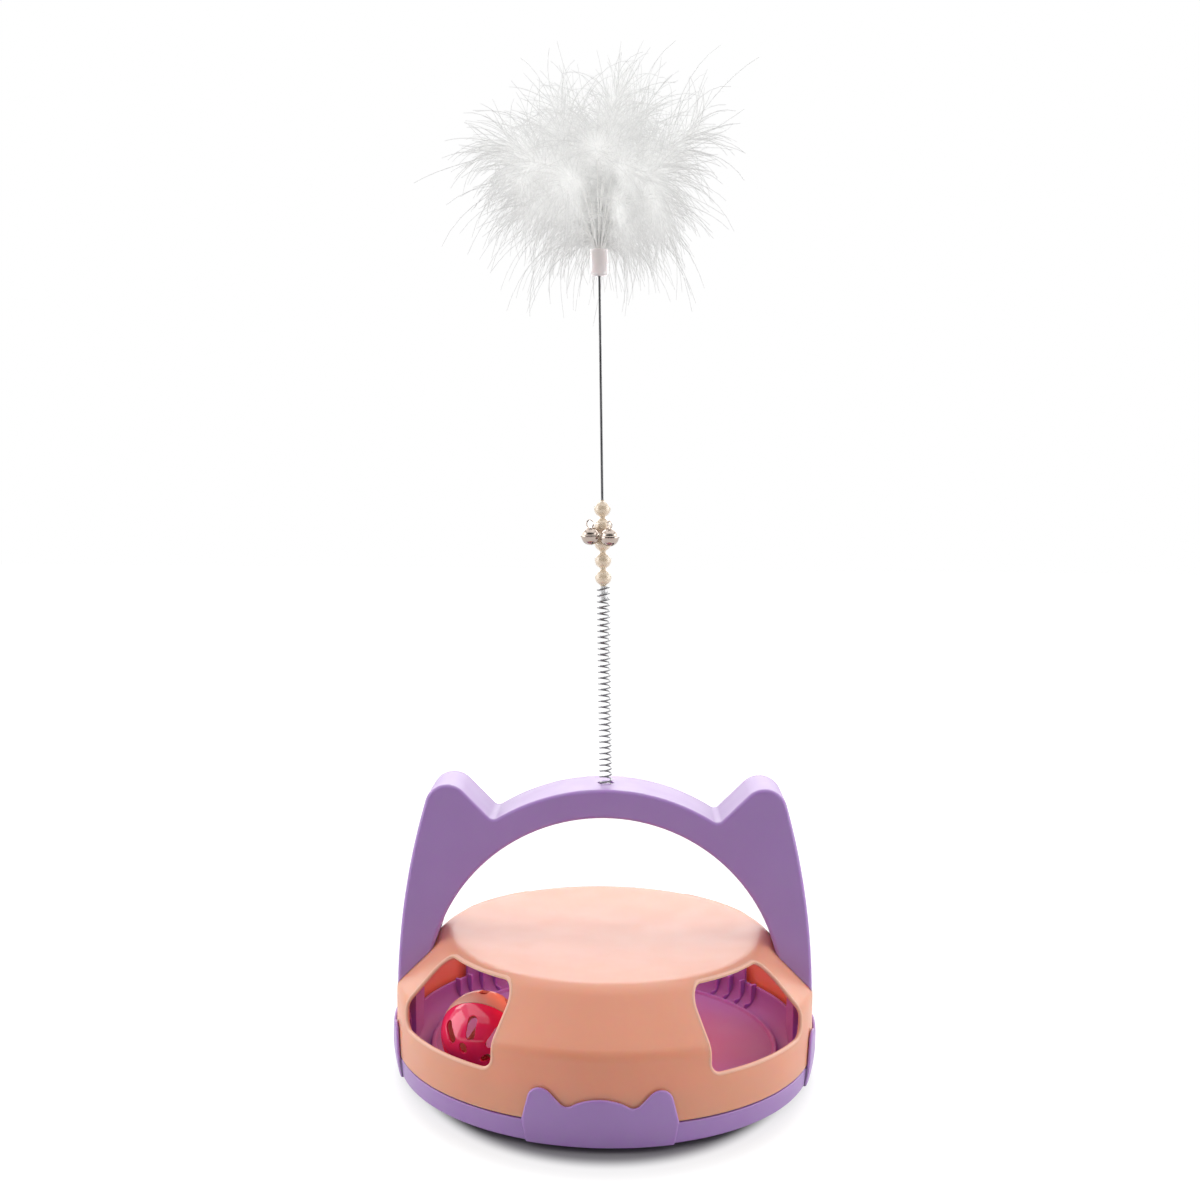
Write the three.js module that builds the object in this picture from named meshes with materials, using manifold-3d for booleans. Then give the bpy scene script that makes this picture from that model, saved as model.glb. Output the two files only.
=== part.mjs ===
// An interactive cat toy: a round base with a ball that circles under a windowed
// cover, an eared carrying handle, and a feather wand on a coil spring.
// Millimetres, +Z up, the front is -Y. The origin is on the floor under the centre.
import * as THREE from "three";
import { mergeVertices } from "three/addons/utils/BufferGeometryUtils.js";
import Module from "manifold-3d";

const wasm = await Module();
wasm.setup();

// Clearances
const FIT_GAP = 0.3; // between pieces that seat on each other
const RUN_GAP = 0.8; // between the rolling ball and what it passes
const SOCKET_PLAY = 0.4; // between a handle tongue and its socket or slot
const OVERLAP = 0.5; // how far joined shapes of one moulding run into each other

// Facets
const ROUND = 32; // sides of the large round mouldings, a multiple of four
const SMALL_ROUND = 12;
const TINY_ROUND = 10; // screws, beads and bells
const WIRE_SIDES = 8;
const RING_SIDES = 5; // round the section of a thin ring
const MERGE_WITHIN = 1e-3;
const ARC_STEP = 30; // degrees per facet of a rounded corner

// Base tray
const FOOT_HEIGHT = 3; // how far the feet lift the skirt off the floor
const FOOT_RADIUS = 9;
const FOOT_SEAT = 2; // depth of a foot's seat in its boss
const FOOT_BOSS_WALL = 2;
const FOOT_BOSS_RISE = 0.8; // boss face above the skirt's lower edge
const FOOT_CIRCLE = 98;
const FOOT_COUNT = 4;
const SKIRT_HEIGHT = 12;
const SKIRT_STEP = 1.5; // the skirt lies this far inside the cover's band
const SKIRT_WALL = 2.5;
const SKIRT_ROUND = 2;
const FLOOR_RISE = 6.2; // floor's underside above the skirt's lower edge
const FLOOR_WALL = 2.2;
const DISC_RADIUS = 104.4;
const DISC_STEP = 1.8; // raised floor disc above the track
const DISC_DRAFT = 0.4;
const TRAY_WALL = 2;
const TRAY_GAP = 3.5; // tray wall to the inside of the cover
const TRAY_WALL_HEIGHT = 19; // above the seam
const COVE_RADIUS = 10.5;
const NOTCH_AZIMUTH = 63.5; // from the front and back centre lines
const NOTCH_SPAN = 25;
const NOTCH_DEPTH = 9.5;
const NOTCH_ROUND = 1.5;
const RIB_COUNT = 4;
const RIB_FIRST = 40.3; // azimuth from the back centre line
const RIB_PITCH = 5.3;
const RIB_THICKNESS = 1.8;
const RIB_DEPTH = 4;
const RIB_HEIGHT = 15; // above the track
const RIB_FOOT_LENGTH = 9;
const RIB_FOOT_HEIGHT = 3.2;

// Cat-head tabs on the skirt
const TAB_GAP = 0.4; // tab to the cover's band
const TAB_THICKNESS = 1.8;
const TAB_FOOT = 39.5; // half width at the bottom
const TAB_CHEEK = 41.8; // half width at the cheeks
const TAB_CHEEK_HEIGHT = 13; // above the skirt's lower edge
const TAB_CROWN_HEIGHT = 27.3;
const TAB_VALLEY = 18.5; // half distance between the valleys
const TAB_VALLEY_HEIGHT = 21.3;
const TAB_EAR = 35.6; // corner that the ear's rounding is cut from
const TAB_EAR_HEIGHT = 38.3;
const TAB_EAR_ROUND = 7;
const TAB_VALLEY_ROUND = 2;

// Top cover
const COVER_RADIUS = 124.5;
const COVER_WALL = 2.5;
const BAND_HEIGHT = 38; // seam to the shoulder's foot
const SHOULDER_HEIGHT = 29;
const SHOULDER_ROUND = 10;
const RIM_RADIUS = 96;
const RIM_ROUND = 14;
const DISH_DEPTH = 7;
const DISH_STEPS = 3;
const WINDOW_AZIMUTH = 46.8; // from the front and back centre lines
const WINDOW_SPAN = 37.4;
const WINDOW_SILL = 23; // above the seam
const WINDOW_HEAD = 3.2; // below the rim
const WINDOW_ROUND = 7;

// Handle
const HANDLE_DEPTH = 42;
const HANDLE_INSET = 1.8; // leg's outer edge inside the cover's band
const HANDLE_WALL = 2.6;
const LEG_WIDTH = 18.7;
const ARCH_THICKNESS = 17.2;
const ARCH_DROP = 2.5; // arch centre below the shoulder's foot
const ARCH_STEPS = 24;
const EAR_INSET = 23.1; // corner that the ear's rounding is cut from
const EAR_RISE = 13.9; // that corner above the crown
const EAR_LEAN = 0.28; // inward lean of the ear's outer side
const EAR_SLOPE = 1; // fall of the ear's inner side
const EAR_SHANK = 26; // straight stretch below the ear's corner
const EAR_ROUND = 13.3;
const VALLEY_ROUND = 4;
const SIDE_INSET = 1.1;
const SIDE_STEPS = 6;
const TONGUE_THICKNESS = 3.2;
const TONGUE_WIDTH = 30;
const TONGUE_FOOT = 5; // above the floor disc
const TONGUE_ROOT = 3; // into the leg
const SOCKET_WALL = 1.6;
const SOCKET_HEIGHT = 33; // above the floor disc
const SOCKET_STANDOFF = 0.6; // outside the tray wall
const PANEL_THICKNESS = 3;
const BOSS_RADIUS = 3.8;
const BOSS_ANGLES = [-68, -22, 22, 68]; // from the crown
const SCREW_RADIUS = 1.3;
const SCREW_HEAD_RADIUS = 2.7;
const SCREW_HEAD_HEIGHT = 1.5;
const SCREW_LENGTH = 13;
const SCREW_SINK = 0.2; // head below the panel's face
const SCREW_SPARE = 1; // pilot hole beyond the screw's point

// Spring and wand
const WAND_LEAN = 1.2; // degrees to the left
const SPRING_EXPOSED = 117.7; // above the crown
const SPRING_SINK = 6; // below the crown
const SPRING_DIAMETER = 8;
const SPRING_WIRE = 1;
const SPRING_PITCH = 3.5;
const SPRING_STEPS = 8; // per turn
const SPRING_SIDES = 5;
const SPRING_PLAY = 0.4; // round the anchor's pin and the plug
const SPRING_HOLE_PLAY = 0.7;
const ANCHOR_RADIUS = 6.5;
const ANCHOR_PIN = 5.4;
const PLUG_LENGTH = 8;
const PLUG_FLOOR = 2;
const WIRE_DIAMETER = 1.5;
const WIRE_EXPOSED = 127; // from the last pearl to the ferrule
const PEARL_COUNT = 5;
const PEARL_RADIUS = 4.9;
const PEARL_STEPS = 5;
const FERRULE_RADIUS = 5.2;
const FERRULE_LENGTH = 17.7;
const FERRULE_STEM = 6; // closed part, round the wire
const FERRULE_CUP = 3.8; // radius of the cup that takes the quills

// Jingle bells
const BELL_RADIUS = 5.4;
const BELL_WALL = 0.6;
const BELL_RIDGE = 0.3; // ridge beyond the radius
const BELL_RIDGE_HEIGHT = 0.8;
const BELL_SLOT = 1.2;
const BELL_SLOT_HEIGHT = 2.8; // slots' upper end below the ridge
const BELL_EYE_RADIUS = 2.2;
const BELL_EYE_WIRE = 0.8;
const BELL_STEPS = 3;
const PELLET_RADIUS = 1.8;
const BELL_RING_RADIUS = 7.6;
const BELL_RING_WIRE = 0.7;
const BELL_RING_BACK = 3.4; // ring's back edge behind the wire
const BELL_RING_TILT = 12; // front edge down
const BELL_ANGLES = { left: -69, right: 34 }; // round the ring, from its front

// Feathers
const QUILL_RADIUS = 0.6;
const QUILL_CIRCLE = 2.3;
const PLUME_REACH = 90; // from the wand's axis to the longest tip
const PLUME_RISE = 120; // from the ferrule to the highest tip
const FEATHER_WIDTH = 52;
const FEATHER_THICKNESS = 1.8;
const FEATHER_TWIST = 55; // degrees, of the vane out of the level
const FEATHER_TAPER = 0.8; // under 1, fuller and widest below the middle
const FEATHER_FAN = 0.32; // most sideways half width for its distance from the axis
const FEATHER_CURL = 0.7; // most half width for the radius that the feather bends to
const FEATHER_SIDES = 6;
const FEATHER_STEPS = 12;
// Azimuth, then where each feather bends and ends, as shares of the plume's reach
// and rise.
const FEATHERS = [
  { azimuth: 0, bend: [0.33, 0.52], tip: [0.95, 0.65] },
  { azimuth: 45, bend: [0.16, 0.67], tip: [0.69, 0.8] },
  { azimuth: 90, bend: [0.29, 0.55], tip: [0.67, 0.52] },
  { azimuth: 135, bend: [0.13, 0.67], tip: [0.62, 0.88] },
  { azimuth: 180, bend: [0.38, 0.77], tip: [1, 0.33] },
  { azimuth: 225, bend: [0.53, 0.72], tip: [0.87, -0.03] },
  { azimuth: 270, bend: [0.3, 0.7], tip: [0.69, 0.22] },
  { azimuth: 315, bend: [0.5, 0.76], tip: [0.62, -0.3] },
];
const CENTRE_FEATHER = { azimuth: 20, bend: [0.02, 0.58], tip: [0.27, 0.98] };

// Ball
const BALL_RADIUS = 23.5;
const BALL_WALL = 1.6;
const BALL_AZIMUTH = -52; // from the front, negative to the left
const BALL_TIP = 118.3; // turns the pink pole forward and down
const BALL_LEAN = 25; // then that pole to the left
const BALL_SPIN = 26; // turns the slots about that pole
const BALL_STEPS = 4;
const BALL_SIDES = 16;
const SLOT_ROWS = [
  { polar: 53, count: 8, first: 0, length: 13, width: 5.2 },
  { polar: 25, count: 4, first: 22.5, length: 6, width: 4.2 },
];

// Places that follow from the sizes above
const seam = FOOT_HEIGHT + SKIRT_HEIGHT;
const skirtRadius = COVER_RADIUS - SKIRT_STEP;
const trayOuter = COVER_RADIUS - COVER_WALL - TRAY_GAP;
const trayInner = trayOuter - TRAY_WALL;
const floorUnder = FOOT_HEIGHT + FLOOR_RISE;
const trackFloor = floorUnder + FLOOR_WALL;
const discTop = trackFloor + DISC_STEP;
const shoulderFoot = seam + BAND_HEIGHT;
const rimTop = shoulderFoot + SHOULDER_HEIGHT;
const footBossFace = FOOT_HEIGHT + FOOT_BOSS_RISE;
const socketOuter = trayOuter + SOCKET_STANDOFF;
const tongueOuter = socketOuter - SOCKET_WALL - SOCKET_PLAY;
const tongueInner = tongueOuter - TONGUE_THICKNESS;
const socketInner = tongueInner - SOCKET_PLAY - SOCKET_WALL;
const tongueFoot = discTop + TONGUE_FOOT;
const orbitRadius = socketInner - RUN_GAP - BALL_RADIUS;
const handleFoot = COVER_RADIUS - HANDLE_INSET;
const archCentre = shoulderFoot - ARCH_DROP;
const archInner = handleFoot - LEG_WIDTH;
const archOuter = archInner + ARCH_THICKNESS;
const archMiddle = archInner + ARCH_THICKNESS / 2;
const crown = archCentre + archOuter;
const springFoot = -SPRING_SINK; // heights from here on are above the crown
const springTop = SPRING_EXPOSED;
const springMean = (SPRING_DIAMETER - SPRING_WIRE) / 2;
const springBore = springMean * Math.cos(Math.PI / SPRING_STEPS) - SPRING_WIRE / 2;
const pearlPitch = 2 * PEARL_RADIUS + FIT_GAP;
const pearlsTop = springTop + PEARL_COUNT * pearlPitch;
const ferruleFoot = pearlsTop + WIRE_EXPOSED;
const ferruleTop = ferruleFoot + FERRULE_LENGTH;
const wireBore = WIRE_DIAMETER / 2 + FIT_GAP;

const radians = THREE.MathUtils.degToRad;

const finish = (color, roughness, metalness = 0, opacity = 1) =>
  new THREE.MeshStandardMaterial({
    color,
    roughness,
    metalness,
    opacity,
    transparent: opacity < 1,
  });
const MATERIALS = {
  purple: finish(0x9a7fc0, 0.45),
  peach: finish(0xf6b496, 0.45),
  rubber: finish(0x3a3a3c, 0.9),
  steel: finish(0xb9bcc0, 0.25, 1),
  nickel: finish(0xc9b9ae, 0.18, 1),
  pearl: finish(0xf3e6d3, 0.25),
  sleeve: finish(0xe8d8d8, 0.4, 0, 0.7),
  clear: finish(0xf4dcd8, 0.15, 0, 0.45),
  pink: finish(0xe22a55, 0.2, 0, 0.85),
  feather: finish(0xf4f4f2, 0.9),
};

// Turns a geometry into a solid that can be joined and cut.
function solidOf(geometry) {
  const bare = new THREE.BufferGeometry();
  bare.setAttribute("position", geometry.getAttribute("position"));
  bare.setIndex(geometry.getIndex());
  const merged = mergeVertices(bare, MERGE_WITHIN);
  return new wasm.Manifold(
    new wasm.Mesh({
      numProp: 3,
      vertProperties: merged.getAttribute("position").array,
      triVerts: new Uint32Array(merged.getIndex().array),
    }),
  );
}

function geometryOf(solid) {
  const { vertProperties, triVerts } = solid.getMesh();
  return new THREE.BufferGeometry()
    .setAttribute("position", new THREE.BufferAttribute(vertProperties, 3))
    .setIndex(new THREE.BufferAttribute(triVerts, 1));
}

const join = (first, ...rest) =>
  geometryOf(rest.reduce((sum, next) => sum.add(solidOf(next)), solidOf(first)));
const cut = (first, ...rest) =>
  geometryOf(rest.reduce((sum, next) => sum.subtract(solidOf(next)), solidOf(first)));
const meet = (first, second) =>
  geometryOf(solidOf(first).intersect(solidOf(second)));

// Rounds the corners [x, y, radius] of an outline, or of an open line.
function rounded(corners, open = false) {
  const last = corners.length - 1;
  return corners.flatMap(([x, y, radius = 0], i) => {
    if (!radius || (open && (i === 0 || i === last))) return [[x, y]];
    const corner = new THREE.Vector2(x, y);
    const towards = (j) =>
      new THREE.Vector2(...corners[(j + corners.length) % corners.length])
        .sub(corner)
        .normalize();
    const back = towards(i - 1);
    const ahead = towards(i + 1);
    const half = Math.acos(THREE.MathUtils.clamp(back.dot(ahead), -1, 1)) / 2;
    const centre = back
      .clone()
      .add(ahead)
      .normalize()
      .multiplyScalar(radius / Math.sin(half))
      .add(corner);
    const start = back.clone().multiplyScalar(radius / Math.tan(half)).add(corner);
    const turn = Math.sign(back.cross(ahead)) * (2 * half - Math.PI);
    const steps = Math.max(1, Math.round(Math.abs(turn) / radians(ARC_STEP)));
    return Array.from({ length: steps + 1 }, (_, k) =>
      start.clone().rotateAround(centre, (turn * k) / steps).toArray(),
    );
  });
}

// Moves each side of a line a distance to its left, with corner radii to match.
function inset(corners, distance, open = false) {
  const count = corners.length;
  const at = (i) => new THREE.Vector2(...corners[(i + count) % count]);
  const leftOf = (a, b) => {
    const along = b.clone().sub(a).normalize();
    return new THREE.Vector2(-along.y, along.x);
  };
  return corners.map(([, , radius = 0], i) => {
    const point = at(i);
    const first = open && i === 0;
    const last = open && i === count - 1;
    const before = first ? leftOf(point, at(1)) : leftOf(at(i - 1), point);
    const after = last ? before : leftOf(point, at(i + 1));
    const middle = before.clone().add(after);
    const move = middle.multiplyScalar((2 * distance) / middle.lengthSq());
    const bend = Math.sign(before.cross(after));
    const room = radius ? Math.max(radius - bend * distance, OVERLAP) : 0;
    return [point.x + move.x, point.y + move.y, room];
  });
}

// A profile of [radius, z] turned about Z.
function turned(profile, sides = ROUND) {
  const points = profile.map(([r, z]) => new THREE.Vector2(Math.max(r, 0), z));
  return new THREE.LatheGeometry(points, sides).rotateX(Math.PI / 2);
}

const ring = (outline, sides) => turned([...outline, outline[0]], sides);

const rod = (radius, low, high, sides = SMALL_ROUND) =>
  turned(
    [
      [0, low],
      [radius, low],
      [radius, high],
      [0, high],
    ],
    sides,
  );

// An outline of [x, z] extruded from y = front to y = back.
function slab(outline, front, back) {
  const shape = new THREE.Shape(outline.map(([x, z]) => new THREE.Vector2(x, z)));
  const settings = { depth: back - front, bevelEnabled: false };
  return new THREE.ExtrudeGeometry(shape, settings)
    .rotateX(Math.PI / 2)
    .translate(0, back, 0);
}

function block(low, high) {
  const size = high.map((value, axis) => value - low[axis]);
  const middle = high.map((value, axis) => (value + low[axis]) / 2);
  return new THREE.BoxGeometry(...size).translate(...middle);
}

// Closes rings of points, all of one count, into a solid with flat-fan ends.
function skinned(rings) {
  const sides = rings[0].length;
  const points = rings.flat();
  const index = [];
  for (let row = 0; row < rings.length - 1; row++) {
    for (let k = 0; k < sides; k++) {
      const a = row * sides + k;
      const b = row * sides + ((k + 1) % sides);
      index.push(a, b, b + sides, a, b + sides, a + sides);
    }
  }
  const fan = (ringPoints, start, flip) => {
    const hub = points.length;
    const sum = ringPoints.reduce((s, p) => s.add(p), new THREE.Vector3());
    points.push(sum.divideScalar(sides));
    for (let k = 0; k < sides; k++) {
      const a = start + k;
      const b = start + ((k + 1) % sides);
      index.push(...(flip ? [hub, b, a] : [hub, a, b]));
    }
  };
  fan(rings[0], 0, true);
  fan(rings[rings.length - 1], (rings.length - 1) * sides, false);
  const geometry = new THREE.BufferGeometry().setFromPoints(points);
  return geometry.setIndex(index);
}

// A rounded window cut through a round wall, centred on an azimuth from the front.
function wallCutter(azimuth, span, sill, head, corner, wallRadius, near) {
  const half = (radians(span) / 2) * wallRadius;
  const far = wallRadius / Math.cos(radians(span) / 2) + OVERLAP;
  const outline = rounded([
    [-half, sill, corner],
    [-half / 3, sill],
    [half / 3, sill],
    [half, sill, corner],
    [half, head, corner],
    [half / 3, head],
    [-half / 3, head],
    [-half, head, corner],
  ]);
  const wrap = (radius) =>
    outline.map(([along, z]) => {
      const angle = radians(azimuth) + along / wallRadius;
      return new THREE.Vector3(radius * Math.sin(angle), -radius * Math.cos(angle), z);
    });
  return skinned([wrap(near), wrap(far)]);
}

const quarters = (azimuth) => [azimuth, 180 - azimuth, 180 + azimuth, -azimuth];
const pair = (make) => [make(1), make(-1)];

// The round skin of the cover, moved outwards by extra, as a filled solid.
function coverEnvelope(extra) {
  const skin = inset(
    [
      [COVER_RADIUS, seam],
      [COVER_RADIUS, shoulderFoot, SHOULDER_ROUND],
      [RIM_RADIUS, rimTop, RIM_ROUND],
      [0, rimTop],
    ],
    -extra,
    true,
  );
  return turned([[0, seam], ...rounded(skin, true)]);
}

function shoulderHeightAt(radius) {
  const share = (radius - RIM_RADIUS) / (COVER_RADIUS - RIM_RADIUS);
  return rimTop - share * SHOULDER_HEIGHT;
}

// Base tray with its floor, tabs, ribs, sockets and foot bosses.
function catTab() {
  const inner = COVER_RADIUS + TAB_GAP;
  const outer = inner + TAB_THICKNESS;
  const root = skirtRadius - SKIRT_WALL / 2;
  const shelf = seam - FIT_GAP;
  const top = FOOT_HEIGHT + TAB_EAR_HEIGHT;
  const band = ring(
    rounded([
      [root, FOOT_HEIGHT],
      [outer, FOOT_HEIGHT, SKIRT_ROUND],
      [outer, top],
      [inner, top],
      [inner, shelf],
      [root, shelf],
    ]),
  );
  const crownRise = TAB_CROWN_HEIGHT - TAB_VALLEY_HEIGHT;
  const arch = (TAB_VALLEY ** 2 + crownRise ** 2) / (2 * crownRise);
  const side = [
    [TAB_FOOT, FOOT_HEIGHT - OVERLAP],
    [TAB_CHEEK, FOOT_HEIGHT + TAB_CHEEK_HEIGHT, SKIRT_ROUND],
    [TAB_EAR, FOOT_HEIGHT + TAB_EAR_HEIGHT, TAB_EAR_ROUND],
    [TAB_VALLEY, FOOT_HEIGHT + TAB_VALLEY_HEIGHT, TAB_VALLEY_ROUND],
  ];
  const crownArc = [0.5, 0, -0.5].map((share) => {
    const x = share * TAB_VALLEY;
    return [x, FOOT_HEIGHT + TAB_CROWN_HEIGHT - arch + Math.sqrt(arch ** 2 - x ** 2)];
  });
  const mirrored = side.map(([x, z, radius]) => [-x, z, radius]).reverse();
  const outline = rounded([...side, ...crownArc, ...mirrored]);
  return meet(band, slab(outline, -outer - OVERLAP, -outer * Math.cos(radians(45))));
}

function rib(azimuth) {
  const half = RIB_THICKNESS / 2;
  const root = trackFloor - OVERLAP;
  const fin = block(
    [-half, trayInner - RIB_DEPTH, root],
    [half, trayInner + OVERLAP, trackFloor + RIB_HEIGHT],
  );
  const foot = block(
    [-half, trayInner - RIB_FOOT_LENGTH, root],
    [half, trayInner, trackFloor + RIB_FOOT_HEIGHT],
  );
  return join(fin, foot).rotateZ(-radians(azimuth));
}

function socket(side) {
  const wide = TONGUE_WIDTH / 2 + SOCKET_PLAY;
  const outside = block(
    [socketInner, -wide - SOCKET_WALL, floorUnder + FLOOR_WALL / 2],
    [socketOuter, wide + SOCKET_WALL, discTop + SOCKET_HEIGHT],
  );
  const pocket = block(
    [tongueInner - SOCKET_PLAY, -wide, tongueFoot - SOCKET_PLAY],
    [tongueOuter + SOCKET_PLAY, wide, discTop + SOCKET_HEIGHT + OVERLAP],
  );
  return [outside, pocket].map((part) => (side > 0 ? part : part.rotateZ(Math.PI)));
}

const footPlaces = Array.from({ length: FOOT_COUNT }, (_, i) => {
  const angle = (2 * Math.PI * (i + 0.5)) / FOOT_COUNT;
  return [FOOT_CIRCLE * Math.cos(angle), FOOT_CIRCLE * Math.sin(angle)];
});

function baseTray() {
  const body = turned(
    rounded(
      [
        [0, floorUnder],
        [skirtRadius - SKIRT_WALL, floorUnder],
        [skirtRadius - SKIRT_WALL, FOOT_HEIGHT],
        [skirtRadius, FOOT_HEIGHT, SKIRT_ROUND],
        [skirtRadius, seam],
        [trayOuter, seam],
        [trayOuter, seam + TRAY_WALL_HEIGHT],
        [trayInner, seam + TRAY_WALL_HEIGHT],
        [trayInner, trackFloor, COVE_RADIUS],
        [DISC_RADIUS, trackFloor],
        [DISC_RADIUS - DISC_DRAFT, discTop],
        [0, discTop],
      ],
      true,
    ),
  );
  const notches = quarters(NOTCH_AZIMUTH).map((azimuth) =>
    wallCutter(
      azimuth,
      NOTCH_SPAN,
      seam + TRAY_WALL_HEIGHT - NOTCH_DEPTH,
      seam + TRAY_WALL_HEIGHT + NOTCH_DEPTH,
      NOTCH_ROUND,
      trayOuter,
      trayInner - TRAY_WALL,
    ),
  );
  const ribs = Array.from({ length: RIB_COUNT }, (_, i) => RIB_FIRST + i * RIB_PITCH);
  const tabs = [0, 90, 180, 270].map((turn) => catTab().rotateZ(radians(turn)));
  const sockets = pair(socket);
  const bosses = footPlaces.map(([x, y]) =>
    rod(FOOT_RADIUS + FOOT_BOSS_WALL, footBossFace, floorUnder + OVERLAP).translate(x, y, 0),
  );
  const seats = footPlaces.map(([x, y]) =>
    rod(FOOT_RADIUS + FIT_GAP, 0, footBossFace + FOOT_SEAT).translate(x, y, 0),
  );
  return cut(
    join(
      cut(body, ...notches),
      ...ribs.flatMap((azimuth) => [rib(azimuth), rib(-azimuth)]),
      ...tabs,
      ...sockets.map(([outside]) => outside),
      ...bosses,
    ),
    ...sockets.map(([, pocket]) => pocket),
    ...seats,
  );
}

// Top cover with its dish, windows and the slots for the handle's tongues.
function topCover() {
  const dish = Array.from({ length: DISH_STEPS }, (_, i) => {
    const share = 1 - (i + 1) / DISH_STEPS;
    return [RIM_RADIUS * share, rimTop - DISH_DEPTH * (1 - share ** 2)];
  });
  const outside = [
    [COVER_RADIUS, seam + FIT_GAP],
    [COVER_RADIUS, shoulderFoot, SHOULDER_ROUND],
    [RIM_RADIUS, rimTop, RIM_ROUND],
    ...dish,
  ];
  const inside = inset(outside, COVER_WALL, true);
  inside[inside.length - 1][0] = 0;
  const body = turned([
    ...rounded(inside, true).reverse(),
    ...rounded(outside, true),
  ]);
  const windows = quarters(WINDOW_AZIMUTH).map((azimuth) =>
    wallCutter(
      azimuth,
      WINDOW_SPAN,
      seam + WINDOW_SILL,
      rimTop - WINDOW_HEAD,
      WINDOW_ROUND,
      COVER_RADIUS,
      RIM_RADIUS - COVER_WALL,
    ),
  );
  const wide = TONGUE_WIDTH / 2 + SOCKET_PLAY;
  const slots = pair((side) =>
    block(
      [tongueInner - SOCKET_PLAY, -wide, shoulderFoot - COVER_WALL],
      [tongueOuter + SOCKET_PLAY, wide, rimTop],
    ).rotateZ(side > 0 ? 0 : Math.PI),
  );
  return cut(body, ...windows, ...slots);
}

// The handle's front outline: legs, ears, valleys and the two arches.
function handleCorners() {
  const earX = handleFoot - EAR_INSET;
  const earZ = crown + EAR_RISE;
  const sideX = handleFoot - SIDE_INSET;
  const side = new THREE.QuadraticBezierCurve(
    new THREE.Vector2(handleFoot, archCentre),
    new THREE.Vector2(sideX, earZ - (sideX - earX) / EAR_LEAN),
    new THREE.Vector2(earX + EAR_LEAN * EAR_SHANK, earZ - EAR_SHANK),
  )
    .getPoints(SIDE_STEPS)
    .map((point) => point.toArray());
  // The valley is where the ear's inner side meets the outer arch.
  const rise = earZ - archCentre;
  const a = 1 + EAR_SLOPE ** 2;
  const b = earX + rise * EAR_SLOPE;
  const c = earX ** 2 + rise ** 2 - archOuter ** 2;
  const fall = (b - Math.sqrt(b ** 2 - a * c)) / a;
  const valley = [earX - fall, earZ - fall * EAR_SLOPE];
  const valleyAngle = Math.atan2(valley[0], valley[1] - archCentre);
  const arcPoint = (radius, angle) => [
    radius * Math.sin(angle),
    archCentre + radius * Math.cos(angle),
  ];
  const crownSteps = ARCH_STEPS / 3;
  const crownArc = Array.from({ length: crownSteps - 1 }, (_, i) =>
    arcPoint(archOuter, valleyAngle * (1 - (2 * (i + 1)) / crownSteps)),
  );
  const innerArc = Array.from({ length: ARCH_STEPS + 1 }, (_, i) =>
    arcPoint(archInner, Math.PI * (i / ARCH_STEPS - 0.5)),
  );
  const right = [...side, [earX, earZ, EAR_ROUND], [...valley, VALLEY_ROUND]];
  const left = right.map(([x, z, radius]) => [-x, z, radius]).reverse();
  return [...right, ...crownArc, ...left, ...innerArc];
}

const bossPlaces = BOSS_ANGLES.map((angle) => [
  archMiddle * Math.sin(radians(angle)),
  archCentre + archMiddle * Math.cos(radians(angle)),
]);
const panelFace = HANDLE_DEPTH / 2;
const panelInside = panelFace - PANEL_THICKNESS;

// A rod along Y, from front to back.
const crossRod = (radius, front, back, [x, z]) =>
  rod(radius, 0, back - front)
    .rotateX(-Math.PI / 2)
    .translate(x, front, z);

function handleShell(corners) {
  const front = -HANDLE_DEPTH / 2;
  const solidArch = slab(rounded(corners), front, panelFace);
  const hollow = cut(
    slab(rounded(inset(corners, HANDLE_WALL)), front + HANDLE_WALL, panelFace + OVERLAP),
    coverEnvelope(FIT_GAP + HANDLE_WALL),
  );
  const arch = cut(solidArch, hollow, coverEnvelope(FIT_GAP));
  const bosses = bossPlaces.map((place) =>
    crossRod(BOSS_RADIUS, front + HANDLE_WALL - OVERLAP, panelInside - FIT_GAP, place),
  );
  const pilots = bossPlaces.map((place) =>
    crossRod(SCREW_RADIUS + FIT_GAP, panelFace - SCREW_LENGTH - SCREW_SPARE, panelFace, place),
  );
  const tongues = pair((side) =>
    block(
      [tongueInner, -TONGUE_WIDTH / 2, tongueFoot],
      [tongueOuter, TONGUE_WIDTH / 2, shoulderHeightAt(tongueInner) + TONGUE_ROOT],
    ).rotateZ(side > 0 ? 0 : Math.PI),
  );
  const springHole = rod(
    SPRING_DIAMETER / 2 + SPRING_HOLE_PLAY,
    crown - HANDLE_WALL - OVERLAP,
    crown + OVERLAP,
  );
  return cut(join(arch, ...bosses, ...tongues), ...pilots, springHole);
}

function handlePanel(corners) {
  const outline = rounded(inset(corners, HANDLE_WALL + FIT_GAP));
  const plate = cut(
    slab(outline, panelInside, panelFace),
    coverEnvelope(2 * FIT_GAP + HANDLE_WALL),
  );
  const seatDepth = SCREW_SINK + SCREW_HEAD_HEIGHT + FIT_GAP;
  const holes = bossPlaces.flatMap((place) => [
    crossRod(SCREW_RADIUS + FIT_GAP, panelInside - OVERLAP, panelFace, place),
    crossRod(SCREW_HEAD_RADIUS + FIT_GAP, panelFace - seatDepth, panelFace + OVERLAP, place),
  ]);
  return cut(plate, ...holes);
}

// A screw with its head up and its head's face at the origin.
const screw = () =>
  turned(
    [
      [0, -SCREW_LENGTH],
      [SCREW_RADIUS, -SCREW_LENGTH],
      [SCREW_RADIUS, -SCREW_HEAD_HEIGHT],
      [SCREW_HEAD_RADIUS, -SCREW_HEAD_HEIGHT],
      [SCREW_HEAD_RADIUS, 0],
      [0, 0],
    ],
    TINY_ROUND,
  );

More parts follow.
